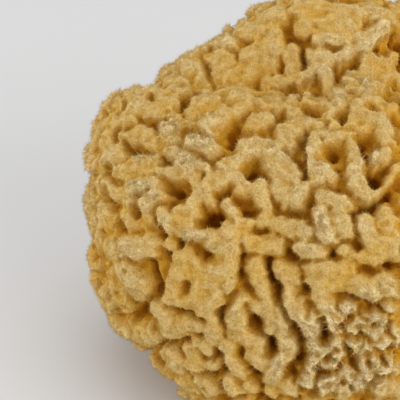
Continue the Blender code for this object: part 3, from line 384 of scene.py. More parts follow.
# Front clefts: width, depth, then the places that each runs through
FRONT_CLEFTS = (
    (1.1, 3.0, ((27.2, 39.5), (27.5, 35.7))),
    (1.1, 4.0, ((36.3, 35.7), (36.0, 30.9))),
    (0.8, 2.5, ((18.7, 30.9), (26.1, 30.9))),
    (1.2, 6.0, ((27.5, 16.5), (28.0, 12.0), (27.7, 5.9))),
    (1.6, 4.0, ((43.2, 15.5), (44.3, 11.2), (45.9, 6.9))),
    (1.3, 5.0, ((40.5, -3.5), (44.3, -2.1), (48.5, 0.5), (51.2, 3.7))),
    (0.9, 4.0, ((41.3, -4.3), (41.1, -8.5))),
    (1.1, 2.5, ((0.0, 38.1), (1.6, 35.2), (3.5, 30.4))),
    (1.3, 3.5, ((-15.2, -16.5), (-13.9, -21.3), (-11.7, -26.7))),
    (0.9, 3.0, ((-12.0, -2.1), (-12.8, -6.4), (-11.2, -9.6))),
    (1.1, 3.5, ((-11.2, -13.6), (-9.6, -14.9))),
    (0.8, 3.0, ((-6.7, -10.7), (-6.1, -12.8))),
    (1.1, 4.0, ((-9.9, -28.5), (-4.3, -30.9), (1.1, -33.1))),
    (0.8, 2.5, ((-3.2, -35.5), (-0.5, -37.6))),
    (0.8, 2.5, ((-10.7, -38.7), (-2.7, -38.7))),
    (1.3, 3.5, ((11.5, -20.3), (9.6, -24.8), (6.1, -29.6), (5.6, -33.6))),
    (1.1, 4.5, ((18.7, -16.5), (18.4, -20.3), (20.3, -23.5), (21.1, -27.7))),
    (1.1, 4.0, ((22.1, -29.6), (24.3, -33.3), (27.2, -38.1))),
    (0.8, 2.5, ((-8.3, 14.1), (-5.1, 14.7), (-1.6, 12.8), (1.3, 10.4), (3.2, 8.8))),
    (0.8, 2.0, ((1.1, 6.7), (0.0, 4.0))),
    (0.7, 2.0, ((25.9, -20.5), (27.7, -23.2))),
    (1.1, 3.5, ((33.6, -15.5), (36.3, -12.3), (38.9, -10.7))),
    (1.1, 3.0, ((26.7, -16.5), (32.0, -16.3))),
    (1.1, 3.5, ((48.0, -17.9), (53.9, -18.1))),
    (1.1, 3.0, ((22.4, 13.3), (26.7, 10.7))),
    (1.1, 2.5, ((11.2, -12.8), (11.5, -16.5))),
    (0.8, 2.5, ((20.3, 24.5), (22.4, 22.4))),
    (1.1, 3.0, ((49.3, 2.1), (52.8, 5.3))),
)

# Where the felt is torn into crumbs: across, up, half width, half height
FRONT_CRUMBS = (
    (41.3, -38.7, 15.0, 14.0),
    (31.0, -46.0, 8.0, 8.0),
)
# How far the folds are frayed at their sides, and how much more so in the crumbs
FOLD_FRAY = 0.55
CRUMB_FRAY = 0.5
# In the crumbs the folds are thinner on each side by the gap, and their valleys are deeper
CRUMB_GAP = 0.35
CRUMB_DEPTH = 2.0
# The crumbs themselves: size across, then how far they stand out
CRUMB_SIZE = 1.8
CRUMB_RISE = 1.5

# Pale tufts of the front, with long fibres: across, up, half width, half height
FRONT_TUFTS = (
    (30.1, -38.9, 1.6, 1.6),
    (41.3, -39.7, 2.9, 1.6),
    (36.0, -42.9, 2.4, 1.9),
    (40.0, -46.9, 2.1, 2.1),
    (46.9, -44.5, 3.5, 1.6),
    (31.5, -43.2, 1.9, 1.3),
    (34.9, -49.1, 2.4, 1.9),
    (39.7, -29.6, 2.4, 2.1),
    (42.4, -32.8, 1.6, 1.6),
    (48.3, -32.8, 3.2, 2.4),
    (43.5, -49.1, 2.1, 2.1),
    (51.2, -40.5, 2.4, 2.1),
    (-8.0, 19.2, 3.2, 3.2),
    (0.8, 16.8, 3.5, 2.1),
    (-15.2, 11.7, 3.7, 1.6),
    (-3.7, 11.2, 4.8, 2.1),
    (-16.0, 4.0, 3.5, 2.1),
    (-12.8, 0.8, 2.4, 2.4),
    (44.3, 31.5, 1.9, 1.9),
    (37.1, 27.5, 1.6, 2.1),
    (20.8, -44.8, 2.4, 3.5),
    (50.9, -22.4, 3.5, 2.4),
    (45.9, -24.5, 3.7, 2.1),
    (35.5, -32.8, 1.9, 1.6),
    (-9.3, -5.9, 2.7, 2.7),
    (-2.7, -9.1, 3.7, 1.6),
    (46.7, 11.5, 2.9, 1.6),
    (32.0, -5.3, 2.1, 3.7),
)

# Shades, where a point deeper below the bare form is painted darker as shade: the bare form's skin, and how
# much paler than the felt the tufts and the crumbs are
SKIN_SHADE = 0.3
PALEST_SHADE = 0.1
TUFT_PALENESS = 0.11
CRUMB_PALENESS = 0.19
# Painted highlight on rims and painted shade in hollows: a rim is painted pale and a hollow deep in colour,
# by how far a point stands out of its softened surroundings
RIM_ROUNDS = 30
RIM_HEIGHT = 0.5
RIM_HIGHLIGHT_AND_SHADE = 0.08
# The felt's colours at places on the scale of shades, from a pale rim with painted highlight to the floor
# of a pit darkened by painted shade
FELT_AND_PAINTED_SHADE_COLOURS = (
    (0.10, (0.93, 0.77, 0.46)),
    (0.28, (0.80, 0.595, 0.255)),
    (0.44, (0.77, 0.495, 0.13)),
    (0.66, (0.70, 0.37, 0.03)),
    (1.0, (0.42, 0.14, 0.001)),
)

# The skin: faces start this small. The part that the line of sight doesn't show is thinned first
SKIN_GRID = 0.45
SKIN_SOFTENING = 1
OTHER_TRIANGLES = 36000
BODY_TRIANGLES = 196000
# Small bumps of the felt itself: size across, then how far they stand out
FELT_BUMPS = ((2.6, 0.22), (1.4, 0.18), (0.9, 0.12))


def smooth_step(low, high, value):
    """A soft step from 0 at low to 1 at high."""
    share = np.clip((value - low) / (high - low), 0.0, 1.0)
    return share * share * (3.0 - 2.0 * share)


def lumpy(points, size, seed):
    """Smooth noise in space, about -1 to 1, whose lumps and dips are about size across."""
    span = 32
    slopes = np.random.default_rng(seed).normal(size=(span, span, span, 3))
    slopes /= np.linalg.norm(slopes, axis=3)[..., None]
    spot = points / size + span
    cell = np.floor(spot).astype(int)
    part = spot - cell
    blend = part * part * part * (part * (6.0 * part - 15.0) + 10.0)
    total = np.zeros(len(points))
    for corner in np.ndindex(2, 2, 2):
        weight = np.prod(np.where(corner, blend, 1.0 - blend), axis=1)
        near = (cell + corner) % span
        slope = slopes[near[:, 0], near[:, 1], near[:, 2]]
        total += weight * np.sum(slope * (part - corner), axis=1)
    return total * 1.6


def places(mesh):
    """The mesh's points, in millimetres."""
    flat = np.empty(len(mesh.vertices) * 3)
    mesh.vertices.foreach_get("co", flat)
    return flat.reshape(-1, 3) / MM


def outward(mesh):
    """The mesh's normals at its points."""
    flat = np.empty(len(mesh.vertices) * 3)
    mesh.vertex_normals.foreach_get("vector", flat)
    return flat.reshape(-1, 3)


def move_to(mesh, points):
    """Moves the mesh's points to places given in millimetres."""
    mesh.vertices.foreach_set("co", (points * MM).ravel())
    mesh.update()


def settle(piece):
    """Applies the piece's modifiers."""
    graph = bpy.context.evaluated_depsgraph_get()
    graph.update()
    finished = bpy.data.meshes.new_from_object(piece.evaluated_get(graph), depsgraph=graph)
    piece.modifiers.clear()
    piece.data = finished


def give_even_skin(piece, grid, softening):
    """Gives the piece an even skin of small faces, softened a little."""
    skin = piece.modifiers.new("Even skin", "REMESH")
    skin.mode = "VOXEL"
    skin.voxel_size = grid * MM
    soft = piece.modifiers.new("Soften", "SMOOTH")
    soft.factor = 0.5
    soft.iterations = softening
    settle(piece)


def run_lobes_together():
    """The bare form: the lobes as one rounded body."""
    form = bmesh.new()
    for x, y, z, half_x, half_y, half_z in LOBES:
        place = Matrix.LocRotScale(Vector((x, y, z)) * MM, None, Vector((half_x, half_y, half_z)) * MM)
        bmesh.ops.create_icosphere(form, subdivisions=4, radius=1.0, matrix=place)
    mesh = bpy.data.meshes.new("sponge_body")
    form.to_mesh(mesh)
    form.free()
    piece = bpy.data.objects.new("sponge_body", mesh)
    bpy.context.scene.collection.objects.link(piece)
    give_even_skin(piece, LOBE_GRID, LOBE_SOFTENING)
    return piece


def make_finer(piece, levels):
    """Divides each face of the bare form, kept smooth."""
    finer = piece.modifiers.new("Finer", "SUBSURF")
    finer.levels = levels
    finer.render_levels = levels
    settle(piece)


def sight_of(points, normals):
    """Where the line of sight sees each point, and how squarely its surface faces it."""
    back = np.array((0.0, -math.cos(SIGHT_TILT), math.sin(SIGHT_TILT)))
    up = np.array((0.0, math.sin(SIGHT_TILT), math.cos(SIGHT_TILT)))
    offset = points - np.array(SIGHT_AIM)
    reach = SIGHT_DISTANCE - offset @ back
    eye = np.array(SIGHT_AIM) + back * SIGHT_DISTANCE
    towards = eye - points
    towards /= np.linalg.norm(towards, axis=1)[:, None]
    facing = np.sum(towards * normals, axis=1)
    return offset[:, 0] * SIGHT_DISTANCE / reach, offset @ up * SIGHT_DISTANCE / reach, facing


def gap_to_route(across, up, route):
    """How far each point lies from a route laid out on the front."""
    gap = np.full(len(across), np.inf)
    for (x1, y1), (x2, y2) in zip(route, route[1:]):
        run_x, run_y = x2 - x1, y2 - y1
        share = ((across - x1) * run_x + (up - y1) * run_y) / (run_x ** 2 + run_y ** 2)
        share = np.clip(share, 0.0, 1.0)
        gap = np.minimum(gap, np.hypot(across - x1 - share * run_x, up - y1 - share * run_y))
    return gap


def fold_height(gap, half_width, crest):
    """The height at a gap from a fold's middle line: a round crest, then a steep side."""
    share = np.minimum(gap / half_width, 1.0)
    return crest - 0.3 * half_width * share ** 2 - FOLD_STEEPNESS * np.maximum(gap - 0.95 * half_width, 0.0)


def shown(mesh):
    """Which of the mesh's points are in the part that the line of sight shows."""
    across, up, facing = sight_of(places(mesh), outward(mesh))
    return (facing > -0.1) & (np.maximum(abs(across), abs(up)) < LAYOUT_EDGE[1])


def refine_shown(piece):
    """Divides the faces of the shown part once more."""
    near = shown(piece.data)
    form = bmesh.new()
    form.from_mesh(piece.data)
    form.edges.ensure_lookup_table()
    ends = np.empty(len(piece.data.edges) * 2, dtype=np.int32)
    piece.data.edges.foreach_get("vertices", ends)
    both = near[ends.reshape(-1, 2)].all(axis=1)
    edges = [form.edges[index] for index in np.flatnonzero(both)]
    bmesh.ops.subdivide_edges(form, edges=edges, cuts=1, use_grid_fill=True)
    form.to_mesh(piece.data)
    form.free()


def pit_depth(share, depth):
    """The depth at a share of the pit's half width: a round floor, steep walls, a soft lip."""
    return depth * (1.0 - smooth_step(0.3, 1.25, share))


def oval_share(across, up, oval):
    """How far out each point lies in an oval laid out on the front: 1 is on its edge."""
    mid_across, mid_up, half_width, half_height, turn = oval
    angle = math.radians(turn)
    right = across - mid_across
    rise = up - mid_up
    along = (right * math.cos(angle) + rise * math.sin(angle)) / half_width
    over = (rise * math.cos(angle) - right * math.sin(angle)) / half_height
    return np.hypot(along, over)


def inside_ovals(across, up, ovals, inner, outer):
    """How far each point is inside one of the ovals, from 0 to 1."""
    share = np.full(len(across), np.inf)
    for *middle, half_width, half_height in ovals:
        share = np.minimum(share, oval_share(across, up, (*middle, half_width, half_height, 0)))
    return 1.0 - smooth_step(inner, outer, share)


def front_relief(across, up, wobble, crumbs):
    """The height of the folds laid out on the front, with its pits and clefts sunk into them."""
    torn = inside_ovals(across, up, FRONT_CRUMBS, 0.7, 1.1)
    height = -FRONT_VALLEY_DEPTH - CRUMB_DEPTH * torn
    fray = (FOLD_FRAY + CRUMB_FRAY * torn) * wobble + CRUMB_GAP * torn
    for half_width, crest, route in FRONT_FOLDS:
        gap = gap_to_route(across, up, route) + fray
        height = np.maximum(height, fold_height(gap, half_width, crest))
    deep = np.zeros(len(across))
    for *oval, depth in FRONT_PITS:
        share = oval_share(across, up, oval) + PIT_WOBBLE * wobble
        deep = np.maximum(deep, pit_depth(share, depth))
    for width, depth, route in FRONT_CLEFTS:
        share = gap_to_route(across, up, route) / (width * 0.62) + CLEFT_WOBBLE * wobble
        deep = np.maximum(deep, depth * (1.0 - smooth_step(0.2, 1.7, share)))
    rough = np.maximum(torn, 0.7 * inside_ovals(across, up, FRONT_TUFTS, 0.5, 1.2))
    return height - deep + CRUMB_RISE * rough * crumbs


def scattered(points, spacing, chance):
    """Points of the bare form, at least spacing apart from each other."""
    left = chance.permutation(len(points))
    chosen = []
    while len(left):
        chosen.append(int(left[0]))
        gaps = np.linalg.norm(points[left] - points[left[0]], axis=1)
        left = left[gaps >= spacing]
    return chosen


def strewn_relief(skin, warped, wobble):
    """The height of folds strewn at random all over the bare form, with pits sunk into them."""
    skin_points, skin_normals = skin
    chance = np.random.default_rng(SEED)
    order = np.argsort(warped[:, 0])
    sorted_x = warped[order, 0]

    def close_to(spot, reach):
        """The points less than reach away from the spot on each axis."""
        first, last = np.searchsorted(sorted_x, (spot[0] - reach, spot[0] + reach))
        some = order[first:last]
        return some[np.abs(warped[some] - spot).max(axis=1) < reach]

    height = np.full(len(warped), -VALLEY_DEPTH)
    for centre in scattered(skin_points, FOLD_SPACING, chance):
        half_length = chance.uniform(*FOLD_HALF_LENGTHS)
        half_width = chance.uniform(*FOLD_HALF_WIDTHS)
        crest = chance.uniform(*FOLD_TOPS)
        way = np.cross(skin_normals[centre], chance.normal(size=3))
        way /= np.linalg.norm(way)
        near = close_to(skin_points[centre], half_length + half_width + VALLEY_DEPTH / FOLD_STEEPNESS)
        offset = warped[near] - skin_points[centre]
        along = np.clip(offset @ way, -half_length, half_length)
        gap = np.linalg.norm(offset - along[:, None] * way, axis=1) + STREWN_FRAY * wobble[near]
        height[near] = np.maximum(height[near], fold_height(gap, half_width, crest))
    deep = np.zeros(len(warped))
    for centre in scattered(skin_points, PIT_SPACING, chance):
        half_width = chance.uniform(*PIT_HALF_WIDTHS)
        half_height = half_width * chance.uniform(0.5, 1.0)
        depth = chance.uniform(*PIT_DEPTHS) * half_height / PIT_HALF_WIDTHS[1] + 1.5
        axis = skin_normals[centre]
        side = np.cross(axis, chance.normal(size=3))
        side /= np.linalg.norm(side)
        near = close_to(skin_points[centre], 1.5 * half_width)
        offset = warped[near] - skin_points[centre]
        share = np.hypot(offset @ side / half_width, offset @ np.cross(axis, side) / half_height)
        deep[near] = np.maximum(deep[near], pit_depth(share + PIT_WOBBLE * wobble[near], depth))
    return height - deep


def raise_relief(piece, skin):
    """Raises the folds and lumps of the bare form and sinks its valleys, pits and clefts."""
    mesh = piece.data
    points = places(mesh)
    normals = outward(mesh)
    _, _, facing = sight_of(points, normals)
    front_spots = points.copy()
    warped = points.copy()
    for number, ((size, shift), front_share) in enumerate(zip(WARPS, FRONT_WARPS)):
        for axis in range(3):
            way = shift * lumpy(points, size, SEED + 30 + 3 * number + axis)
            warped[:, axis] += way
            front_spots[:, axis] += front_share * way
    across, up, _ = sight_of(front_spots, normals)
    coarse, fine = WOBBLE_SIZES
    wobble = lumpy(points, coarse, SEED + 21) + FINE_WOBBLE * lumpy(points, fine, SEED + 20)
    in_view = 1.0 - smooth_step(*LAYOUT_EDGE, np.maximum(abs(across), abs(up)))
    in_front = smooth_step(0.05, 0.3, facing) * in_view
    relief = np.zeros(len(points))
    front = in_front > 0.0
    crumbs = lumpy(points[front], CRUMB_SIZE, SEED + 24)
    relief[front] = in_front[front] * front_relief(across[front], up[front], wobble[front], crumbs)
    grazed = GRAZING_SHARE * (1.0 - smooth_step(*GRAZING, facing))
    relief += (1.0 - in_front * (1.0 - grazed)) * strewn_relief(skin, warped, wobble)
    relief = np.maximum(relief, -DEEPEST)
    above = smooth_step(BASE_CLEAR, BASE_CLEAR + BASE_FADE, points[:, 2])
    rise = CREASE_RISE * (0.3 - abs(lumpy(points, CREASE_SIZE, SEED + 22)))
    for number, (size, height) in enumerate(LUMPS):
        rise += height * lumpy(points, size, SEED + 10 + number)
    move_to(mesh, points + normals * (rise + relief * above)[:, None])


def keep_largest_shell(piece):
    """Removes any small shell left inside the body."""
    mesh = piece.data
    ends = np.empty(len(mesh.edges) * 2, dtype=np.int32)
    mesh.edges.foreach_get("vertices", ends)
    first, second = ends.reshape(-1, 2).T
    shell = np.arange(len(mesh.vertices))
    while (shell[first] != shell[second]).any():
        lowest = np.minimum(shell[first], shell[second])
        np.minimum.at(shell, shell[first], lowest)
        np.minimum.at(shell, shell[second], lowest)
        shell = shell[shell]
    largest = np.argmax(np.bincount(shell))
    body = bmesh.new()
    body.from_mesh(mesh)
    body.verts.ensure_lookup_table()
    loose = [body.verts[index] for index in np.flatnonzero(shell != largest)]
    bmesh.ops.delete(body, geom=loose, context="VERTS")
    body.to_mesh(mesh)
    body.free()


def cut_off_flat(piece):
    """Cuts the body off flat at z = 0, where it was taken off its rock, and closes the cut."""
    body = bmesh.new()
    body.from_mesh(piece.data)
    everything = body.verts[:] + body.edges[:] + body.faces[:]
    bmesh.ops.bisect_plane(body, geom=everything, dist=1e-7, plane_co=(0, 0, 0), plane_no=(0, 0, -1),
                           clear_outer=True)
    rim = [edge for edge in body.edges if edge.is_boundary]
    bmesh.ops.triangle_fill(body, use_beauty=True, use_dissolve=False, edges=rim, normal=(0, 0, -1))
    bmesh.ops.recalc_face_normals(body, faces=body.faces[:])
    body.to_mesh(piece.data)
    body.free()


def tuft_share(points, normals):
    """How far each point is inside a pale tuft of the front, from 0 to 1."""
    across, up, facing = sight_of(points, normals)
    return inside_ovals(across, up, FRONT_TUFTS, 0.5, 1.2) * (facing > 0.0)


def thin_out(piece, region, triangles):
    """Thins the faces in a region of the piece until about that many triangles are left in it."""
    mesh = piece.data
    mesh.calc_loop_triangles()
    corners = np.empty(len(mesh.loop_triangles) * 3, dtype=np.int32)
    mesh.loop_triangles.foreach_get("vertices", corners)
    inside = region[corners.reshape(-1, 3)].all(axis=1).sum()
    total = len(mesh.loop_triangles)
    group = piece.vertex_groups.new(name="thinned")
    group.add(np.flatnonzero(region).tolist(), 1.0, "REPLACE")
    fewer = piece.modifiers.new("Fewer faces", "DECIMATE")
    fewer.use_collapse_triangulate = True
    fewer.vertex_group = group.name
    fewer.ratio = (total - inside + triangles) / total
    settle(piece)
    piece.vertex_groups.clear()


def stand_out(mesh, points):
    """How far each point stands out of its surroundings, in millimetres."""
    ends = np.empty(len(mesh.edges) * 2, dtype=np.int32)
    mesh.edges.foreach_get("vertices", ends)
    first, second = ends.reshape(-1, 2).T
    count = len(points)
    ways = np.bincount(first, minlength=count) + np.bincount(second, minlength=count)
    level = points.copy()
    total = np.empty_like(level)
    for _ in range(RIM_ROUNDS):
        for axis, side in enumerate(level.T):
            total[:, axis] = np.bincount(first, side[second], count)
            total[:, axis] += np.bincount(second, side[first], count)
        level = 0.5 * level + 0.5 * total / ways[:, None]
    return np.sum((points - level) * outward(mesh), axis=1)


def mark_painted_shades(piece, bare):
    """Stores each point's shade: palest at rims (painted highlight), tufts and crumbs, and darkening with
    depth as painted shade to 1 at the floor of a deep pit.
    """
    mesh = piece.data
    points = places(mesh)
    normals = outward(mesh)
    # Painted shade: the deeper a point lies below the bare form's skin, the darker and deeper orange its
    # colour
    depths = np.zeros(len(points))
    for index, spot in enumerate(points):
        near, normal, _, _ = bare.find_nearest(spot * MM)
        depths[index] = (near - Vector(spot * MM)).dot(normal) / MM
    # Painted highlight on rims and painted shade in hollows, by how far each point stands out
    rim = np.clip(stand_out(mesh, points) / RIM_HEIGHT, -1.0, 1.0)
    painted_depth_shade = SKIN_SHADE + 0.7 * depths / DEEPEST
    shades = np.clip(painted_depth_shade - RIM_HIGHLIGHT_AND_SHADE * rim, PALEST_SHADE, 1.0)
    across, up, facing = sight_of(points, normals)
    torn = inside_ovals(across, up, FRONT_CRUMBS, 0.7, 1.1) * (facing > 0.0)
    paleness = TUFT_PALENESS * tuft_share(points, normals) + CRUMB_PALENESS * torn
    shades -= paleness * (1.0 - smooth_step(0.25, 0.5, shades))
    layer = mesh.attributes.new("shade", "FLOAT", "POINT")
    layer.data.foreach_set("value", shades)


def colour_ramp(tree, factor, stops):
    """A colour ramp through the stops, each a place and a colour."""
    ramp = tree.nodes.new("ShaderNodeValToRGB")
    while len(ramp.color_ramp.elements) < len(stops):
        ramp.color_ramp.elements.new(0.5)
    for element, (place, colour) in zip(ramp.color_ramp.elements, stops):
        element.position = place
        element.color = (*colour, 1.0)
    tree.links.new(factor, ramp.inputs["Fac"])
    return ramp.outputs["Color"]


def felt_noise(tree, size, detail):
    """Noise on the object's own coordinates, with lumps about size millimetres across."""
    place = tree.nodes.new("ShaderNodeTexCoord")
    noise = tree.nodes.new("ShaderNodeTexNoise")
    noise.inputs["Scale"].default_value = 1.0 / (size * MM)
    noise.inputs["Detail"].default_value = detail
    tree.links.new(place.outputs["Object"], noise.inputs["Vector"])
    return noise.outputs["Fac"]


def wool_felt(name, translucence):
    """Sponge fibre: ochre and dull, painted deep orange-brown as shade in the pits; light enters it where
    translucent.
    """
    material = bpy.data.materials.new(name)
    material.use_nodes = True
    tree = material.node_tree
    shader = tree.nodes["Principled BSDF"]
    # The shade attribute carries painted shade, darker in pits and hollows, and painted highlight, paler on
    # rims
    depth = tree.nodes.new("ShaderNodeAttribute")
    depth.attribute_name = "shade"
    shift = tree.nodes.new("ShaderNodeMath")
    shift.operation = "MULTIPLY_ADD"
    tree.links.new(felt_noise(tree, 9.0, 3.0), shift.inputs[0])
    shift.inputs[1].default_value = 0.2
    tree.links.new(depth.outputs["Fac"], shift.inputs[2])
    colour = colour_ramp(tree, shift.outputs[0], FELT_AND_PAINTED_SHADE_COLOURS)
    grain = tree.nodes.new("ShaderNodeMix")
    grain.data_type = "RGBA"
    grain.blend_type = "MULTIPLY"
    grain.inputs["Factor"].default_value = 1.0
    shade = colour_ramp(tree, felt_noise(tree, 0.45, 2.0), (
        (0.30, (0.80, 0.74, 0.62)),
        (0.62, (1.0, 1.0, 1.0)),
    ))
    tree.links.new(colour, grain.inputs["A"])
    tree.links.new(shade, grain.inputs["B"])
    tree.links.new(grain.outputs["Result"], shader.inputs["Base Color"])
    shader.inputs["Roughness"].default_value = 1.0
    shader.inputs["Specular IOR Level"].default_value = 0.1
    shader.inputs["Subsurface Weight"].default_value = translucence
    shader.inputs["Subsurface Radius"].default_value = (1.0, 0.5, 0.15)
    shader.inputs["Subsurface Scale"].default_value = 1.5 * MM
    crumbs = tree.nodes.new("ShaderNodeBump")
    crumbs.inputs["Distance"].default_value = 0.5 * MM
    tree.links.new(felt_noise(tree, 1.8, 2.0), crumbs.inputs["Height"])
    bump = tree.nodes.new("ShaderNodeBump")
    bump.inputs["Distance"].default_value = 0.35 * MM
    tree.links.new(felt_noise(tree, 0.5, 3.0), bump.inputs["Height"])
    tree.links.new(crumbs.outputs["Normal"], bump.inputs["Normal"])
    tree.links.new(bump.outputs["Normal"], shader.inputs["Normal"])
    return material


body = run_lobes_together()
bare_form = bmesh.new()
bare_form.from_mesh(body.data)
bare_tree = BVHTree.FromBMesh(bare_form)
bare_form.free()
skin = places(body.data), outward(body.data)
make_finer(body, FORM_SUBDIVISIONS)
refine_shown(body)
raise_relief(body, skin)
give_even_skin(body, SKIN_GRID, SKIN_SOFTENING)
keep_largest_shell(body)
felt_points = places(body.data)
felt_rise = np.zeros(len(felt_points))
for number, (size, height) in enumerate(FELT_BUMPS):
    felt_rise += height * lumpy(felt_points, size, SEED + 60 + number)
move_to(body.data, felt_points + outward(body.data) * felt_rise[:, None])
thin_out(body, ~shown(body.data), OTHER_TRIANGLES)
thin_out(body, np.ones(len(body.data.vertices), dtype=bool), BODY_TRIANGLES)
cut_off_flat(body)
mark_painted_shades(body, bare_tree)
body_points = places(body.data)
middle = (body_points.min(axis=0) + body_points.max(axis=0)) / 2.0
middle[2] = 0.0
move_to(body.data, body_points - middle)
body.data.shade_smooth()
body.data.materials.clear()
felt = wool_felt("wool_felt", 0.3)
body.data.materials.append(felt)
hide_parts("sponge")
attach(body, "root")

# The nap: short loose fibres that stand up out of the felt all over the sponge, and longer ones on
# its pale tufts. The real ones grow out of the body, so each one here starts inside its skin, as a
# three-sided spike. Many are joined in one piece. Lengths in this section are in millimetres.
NAP_PIECES = 4
NAP_FIBRES = 62000
NAP_LENGTHS = (0.4, 1.5)
NAP_HALF_WIDTH = 0.06
NAP_TIP_PALENESS = 0.06
WHISKER_FIBRES = 1400
WHISKER_LENGTHS = (0.9, 2.2)
WHISKER_HALF_WIDTH = 0.15
WHISKER_TIP_PALENESS = 0.3
# Fibres near each other lean alike, by clumps this far across, and each one strays a little
CLUMP_SIZE = 2.2
CLUMP_LEAN = 0.9
STRAY_LEAN = 0.45
# How deep a fibre starts under the skin, and how close to the floor it may start
NAP_ROOT = 0.08
NAP_BASE_CLEAR = 1.0
# A fibre has the shade of the skin that it grows on, painted shade of pits and painted highlight of rims
# included, though none is paler than this
PALEST_NAP = 0.32
NAP_SHADE_SPREAD = 0.06
# Fibres that would reach under the floor are worn down to stubs
FLOOR_CLEAR = 0.2
STUB_LENGTH = 0.15


def one_fibre():
    """A three-sided spike, one unit high and one unit in radius, open at its root."""
    spike = bmesh.new()
    bmesh.ops.create_cone(spike, cap_ends=False, segments=3, radius1=1.0, radius2=0.0, depth=1.0,
                          matrix=Matrix.Translation((0, 0, 0.5)))
    bmesh.ops.remove_doubles(spike, verts=spike.verts[:], dist=1e-5)
    spike.verts.index_update()
    points = np.array([vert.co for vert in spike.verts])
    faces = np.array([[vert.index for vert in face.verts] for face in spike.faces])
    spike.free()
    return points, faces


def strewn_on(mesh, count, chance, tufts):
    """Random places on the mesh's faces, mostly on its crests, and the normals and painted shades there."""
    mesh.calc_loop_triangles()
    corners = np.empty(len(mesh.loop_triangles) * 3, dtype=np.int32)
    mesh.loop_triangles.foreach_get("vertices", corners)
    corners = corners.reshape(-1, 3)
    points = places(mesh)
    normals = outward(mesh)
    shades = np.empty(len(points))
    mesh.attributes["shade"].data.foreach_get("value", shades)
    sides = points[corners[:, 1]] - points[corners[:, 0]], points[corners[:, 2]] - points[corners[:, 0]]
    weight = np.linalg.norm(np.cross(*sides), axis=1) * (1.15 - shades[corners].mean(axis=1)) ** 2
    if tufts:
        weight *= 0.02 + tuft_share(points, normals)[corners].mean(axis=1)
    weight[points[corners].max(axis=1)[:, 2] < NAP_BASE_CLEAR] = 0.0
    chosen = chance.choice(len(corners), size=count, p=weight / weight.sum())
    share = chance.random((count, 2))
    share[share.sum(axis=1) > 1.0] = 1.0 - share[share.sum(axis=1) > 1.0]
    weights = np.column_stack((1.0 - share.sum(axis=1), share))
    corner = corners[chosen]
    return (np.einsum("ij,ijk->ik", weights, points[corner]),
            np.einsum("ij,ijk->ik", weights, normals[corner]),
            np.einsum("ij,ij->i", weights, shades[corner]))


def grow_nap(name, count, lengths, half_width, tip_paleness, tufts, wool, seed):
    """One piece of nap: many fibres as one mesh."""
    chance = np.random.default_rng(seed)
    roots, normals, shades = strewn_on(body.data, count, chance, tufts)
    clump = np.column_stack([lumpy(roots, CLUMP_SIZE, SEED + 90 + axis) for axis in range(3)])
    axis = normals + CLUMP_LEAN * clump + STRAY_LEAN * chance.normal(size=roots.shape)
    axis /= np.linalg.norm(axis, axis=1)[:, None]
    side = np.cross(axis, chance.normal(size=roots.shape))
    side /= np.linalg.norm(side, axis=1)[:, None]
    other = np.cross(axis, side)
    length = chance.uniform(*lengths, size=len(roots)) * (1.3 - shades)
    length[roots[:, 2] + axis[:, 2] * length < FLOOR_CLEAR] = STUB_LENGTH
    shape, faces = one_fibre()
    spikes = (roots - normals * NAP_ROOT)[:, None, :] + (
        shape[None, :, 0, None] * side[:, None, :] * half_width
        + shape[None, :, 1, None] * other[:, None, :] * half_width
        + shape[None, :, 2, None] * (axis * length[:, None])[:, None, :])
    mesh = bpy.data.meshes.new(name)
    mesh.vertices.add(spikes.shape[0] * spikes.shape[1])
    all_faces = (faces[None] + np.arange(len(roots))[:, None, None] * len(shape)).reshape(-1, 3)
    mesh.loops.add(all_faces.size)
    mesh.polygons.add(len(all_faces))
    mesh.vertices.foreach_set("co", (spikes * MM).ravel())
    mesh.loops.foreach_set("vertex_index", all_faces.ravel())
    mesh.polygons.foreach_set("loop_start", np.arange(0, all_faces.size, 3))
    mesh.update(calc_edges=True)
    layer = mesh.attributes.new("shade", "FLOAT", "POINT")
    tips = np.tile(shape[:, 2], len(roots))
    own = np.maximum(shades, PALEST_NAP) + NAP_SHADE_SPREAD * chance.normal(size=len(shades))
    layer.data.foreach_set("value", np.repeat(own, len(shape)) - tip_paleness * tips)
    piece = bpy.data.objects.new(name, mesh)
    bpy.context.scene.collection.objects.link(piece)
    mesh.materials.append(wool)
    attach(piece, "root")


loose_wool = wool_felt("loose_wool", 0.0)
for number in range(NAP_PIECES):
    grow_nap(f"nap_fibres_{number + 1}", NAP_FIBRES, NAP_LENGTHS, NAP_HALF_WIDTH, NAP_TIP_PALENESS,
             False, loose_wool, SEED + 80 + number)
grow_nap("tuft_fibres", WHISKER_FIBRES, WHISKER_LENGTHS, WHISKER_HALF_WIDTH, WHISKER_TIP_PALENESS,
         True, felt, SEED + 85)

# The table and the sheet behind it: plain pale paper, swept up in one curve with no seam.
floor_half = 1.6
sweep_start = 0.9
sweep_radius = 0.6
sheet = bmesh.new()
rail = [sheet.verts.new((-floor_half, -floor_half, 0)), sheet.verts.new((floor_half, -floor_half, 0))]
edge = sheet.edges.new(rail)
run = [(sweep_start, 0.0)]
for step in range(1, 13):
    angle = math.radians(90 * step / 12)
    run.append((sweep_start + sweep_radius * math.sin(angle), sweep_radius * (1 - math.cos(angle))))
run.append((sweep_start + sweep_radius, 2.0))
for y, z in run:
    made = bmesh.ops.extrude_edge_only(sheet, edges=[edge])
    verts = [item for item in made["geom"] if isinstance(item, bmesh.types.BMVert)]
    edge = next(item for item in made["geom"] if isinstance(item, bmesh.types.BMEdge))
    for vert in verts:
        vert.co.y = y
        vert.co.z = z
bmesh.ops.recalc_face_normals(sheet, faces=sheet.faces[:])
sheet_mesh = bpy.data.meshes.new("paper_sweep")
sheet.to_mesh(sheet_mesh)
sheet.free()
sweep = bpy.data.objects.new("paper_sweep", sheet_mesh)
bpy.context.scene.collection.objects.link(sweep)
sheet_mesh.shade_smooth()
paper = bpy.data.materials.new("pale_paper")
paper.use_nodes = True
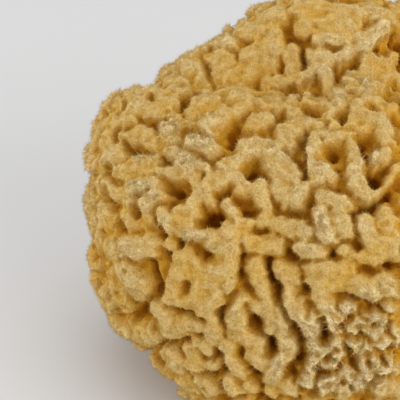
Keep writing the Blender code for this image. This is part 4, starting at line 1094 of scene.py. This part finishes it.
paper_shader = paper.node_tree.nodes["Principled BSDF"]
paper_shader.inputs["Base Color"].default_value = (0.74, 0.74, 0.735, 1.0)
paper_shader.inputs["Roughness"].default_value = 0.9
paper_shader.inputs["Specular IOR Level"].default_value = 0.1
sheet_mesh.materials.append(paper)

# The camera looks down on the sponge's left front from a little above, close up.
picture_width = 106.7 * MM
lens = bpy.data.cameras.new("photo_camera")
camera = bpy.data.objects.new("photo_camera", lens)
bpy.context.scene.collection.objects.link(camera)
aim = Vector(SIGHT_AIM - middle) * MM
back = Vector((0.0, -math.cos(SIGHT_TILT), math.sin(SIGHT_TILT)))
camera.location = aim + back * SIGHT_DISTANCE * MM
camera.rotation_euler = (-back).to_track_quat("-Z", "Y").to_euler()
lens.sensor_fit = "HORIZONTAL"
lens.sensor_width = 36.0
lens.lens = lens.sensor_width * SIGHT_DISTANCE * MM / picture_width
lens.clip_start = 0.01
bpy.context.scene.camera = camera


# The lights: a wide soft light on the right of the camera, weaker ones overhead and on the left,
# and pale surroundings that fill the shadows.
def hang_softbox(name, place, width, height, power):
    """A rectangular soft light that shines on the part of the sponge in view."""
    light = bpy.data.lights.new(name, "AREA")
    light.shape = "RECTANGLE"
    light.size = width
    light.size_y = height
    light.energy = power
    softbox = bpy.data.objects.new(name, light)
    bpy.context.scene.collection.objects.link(softbox)
    softbox.location = place
    softbox.rotation_euler = (aim - softbox.location).to_track_quat("-Z", "Y").to_euler()


hang_softbox("key_softbox", (0.70, -0.80, 0.45), 1.0, 0.8, 6.4)
hang_softbox("overhead_softbox", (0.0, 0.30, 0.95), 1.0, 0.8, 2.0)
hang_softbox("left_softbox", (-0.95, 0.05, 0.30), 0.9, 0.5, 3.5)
world = bpy.data.worlds.new("pale_room")
world.use_nodes = True
world.node_tree.nodes["Background"].inputs["Color"].default_value = (0.82, 0.82, 0.83, 1.0)
world.node_tree.nodes["Background"].inputs["Strength"].default_value = 0.76
bpy.context.scene.world = world
bpy.context.scene.view_settings.view_transform = "Standard"
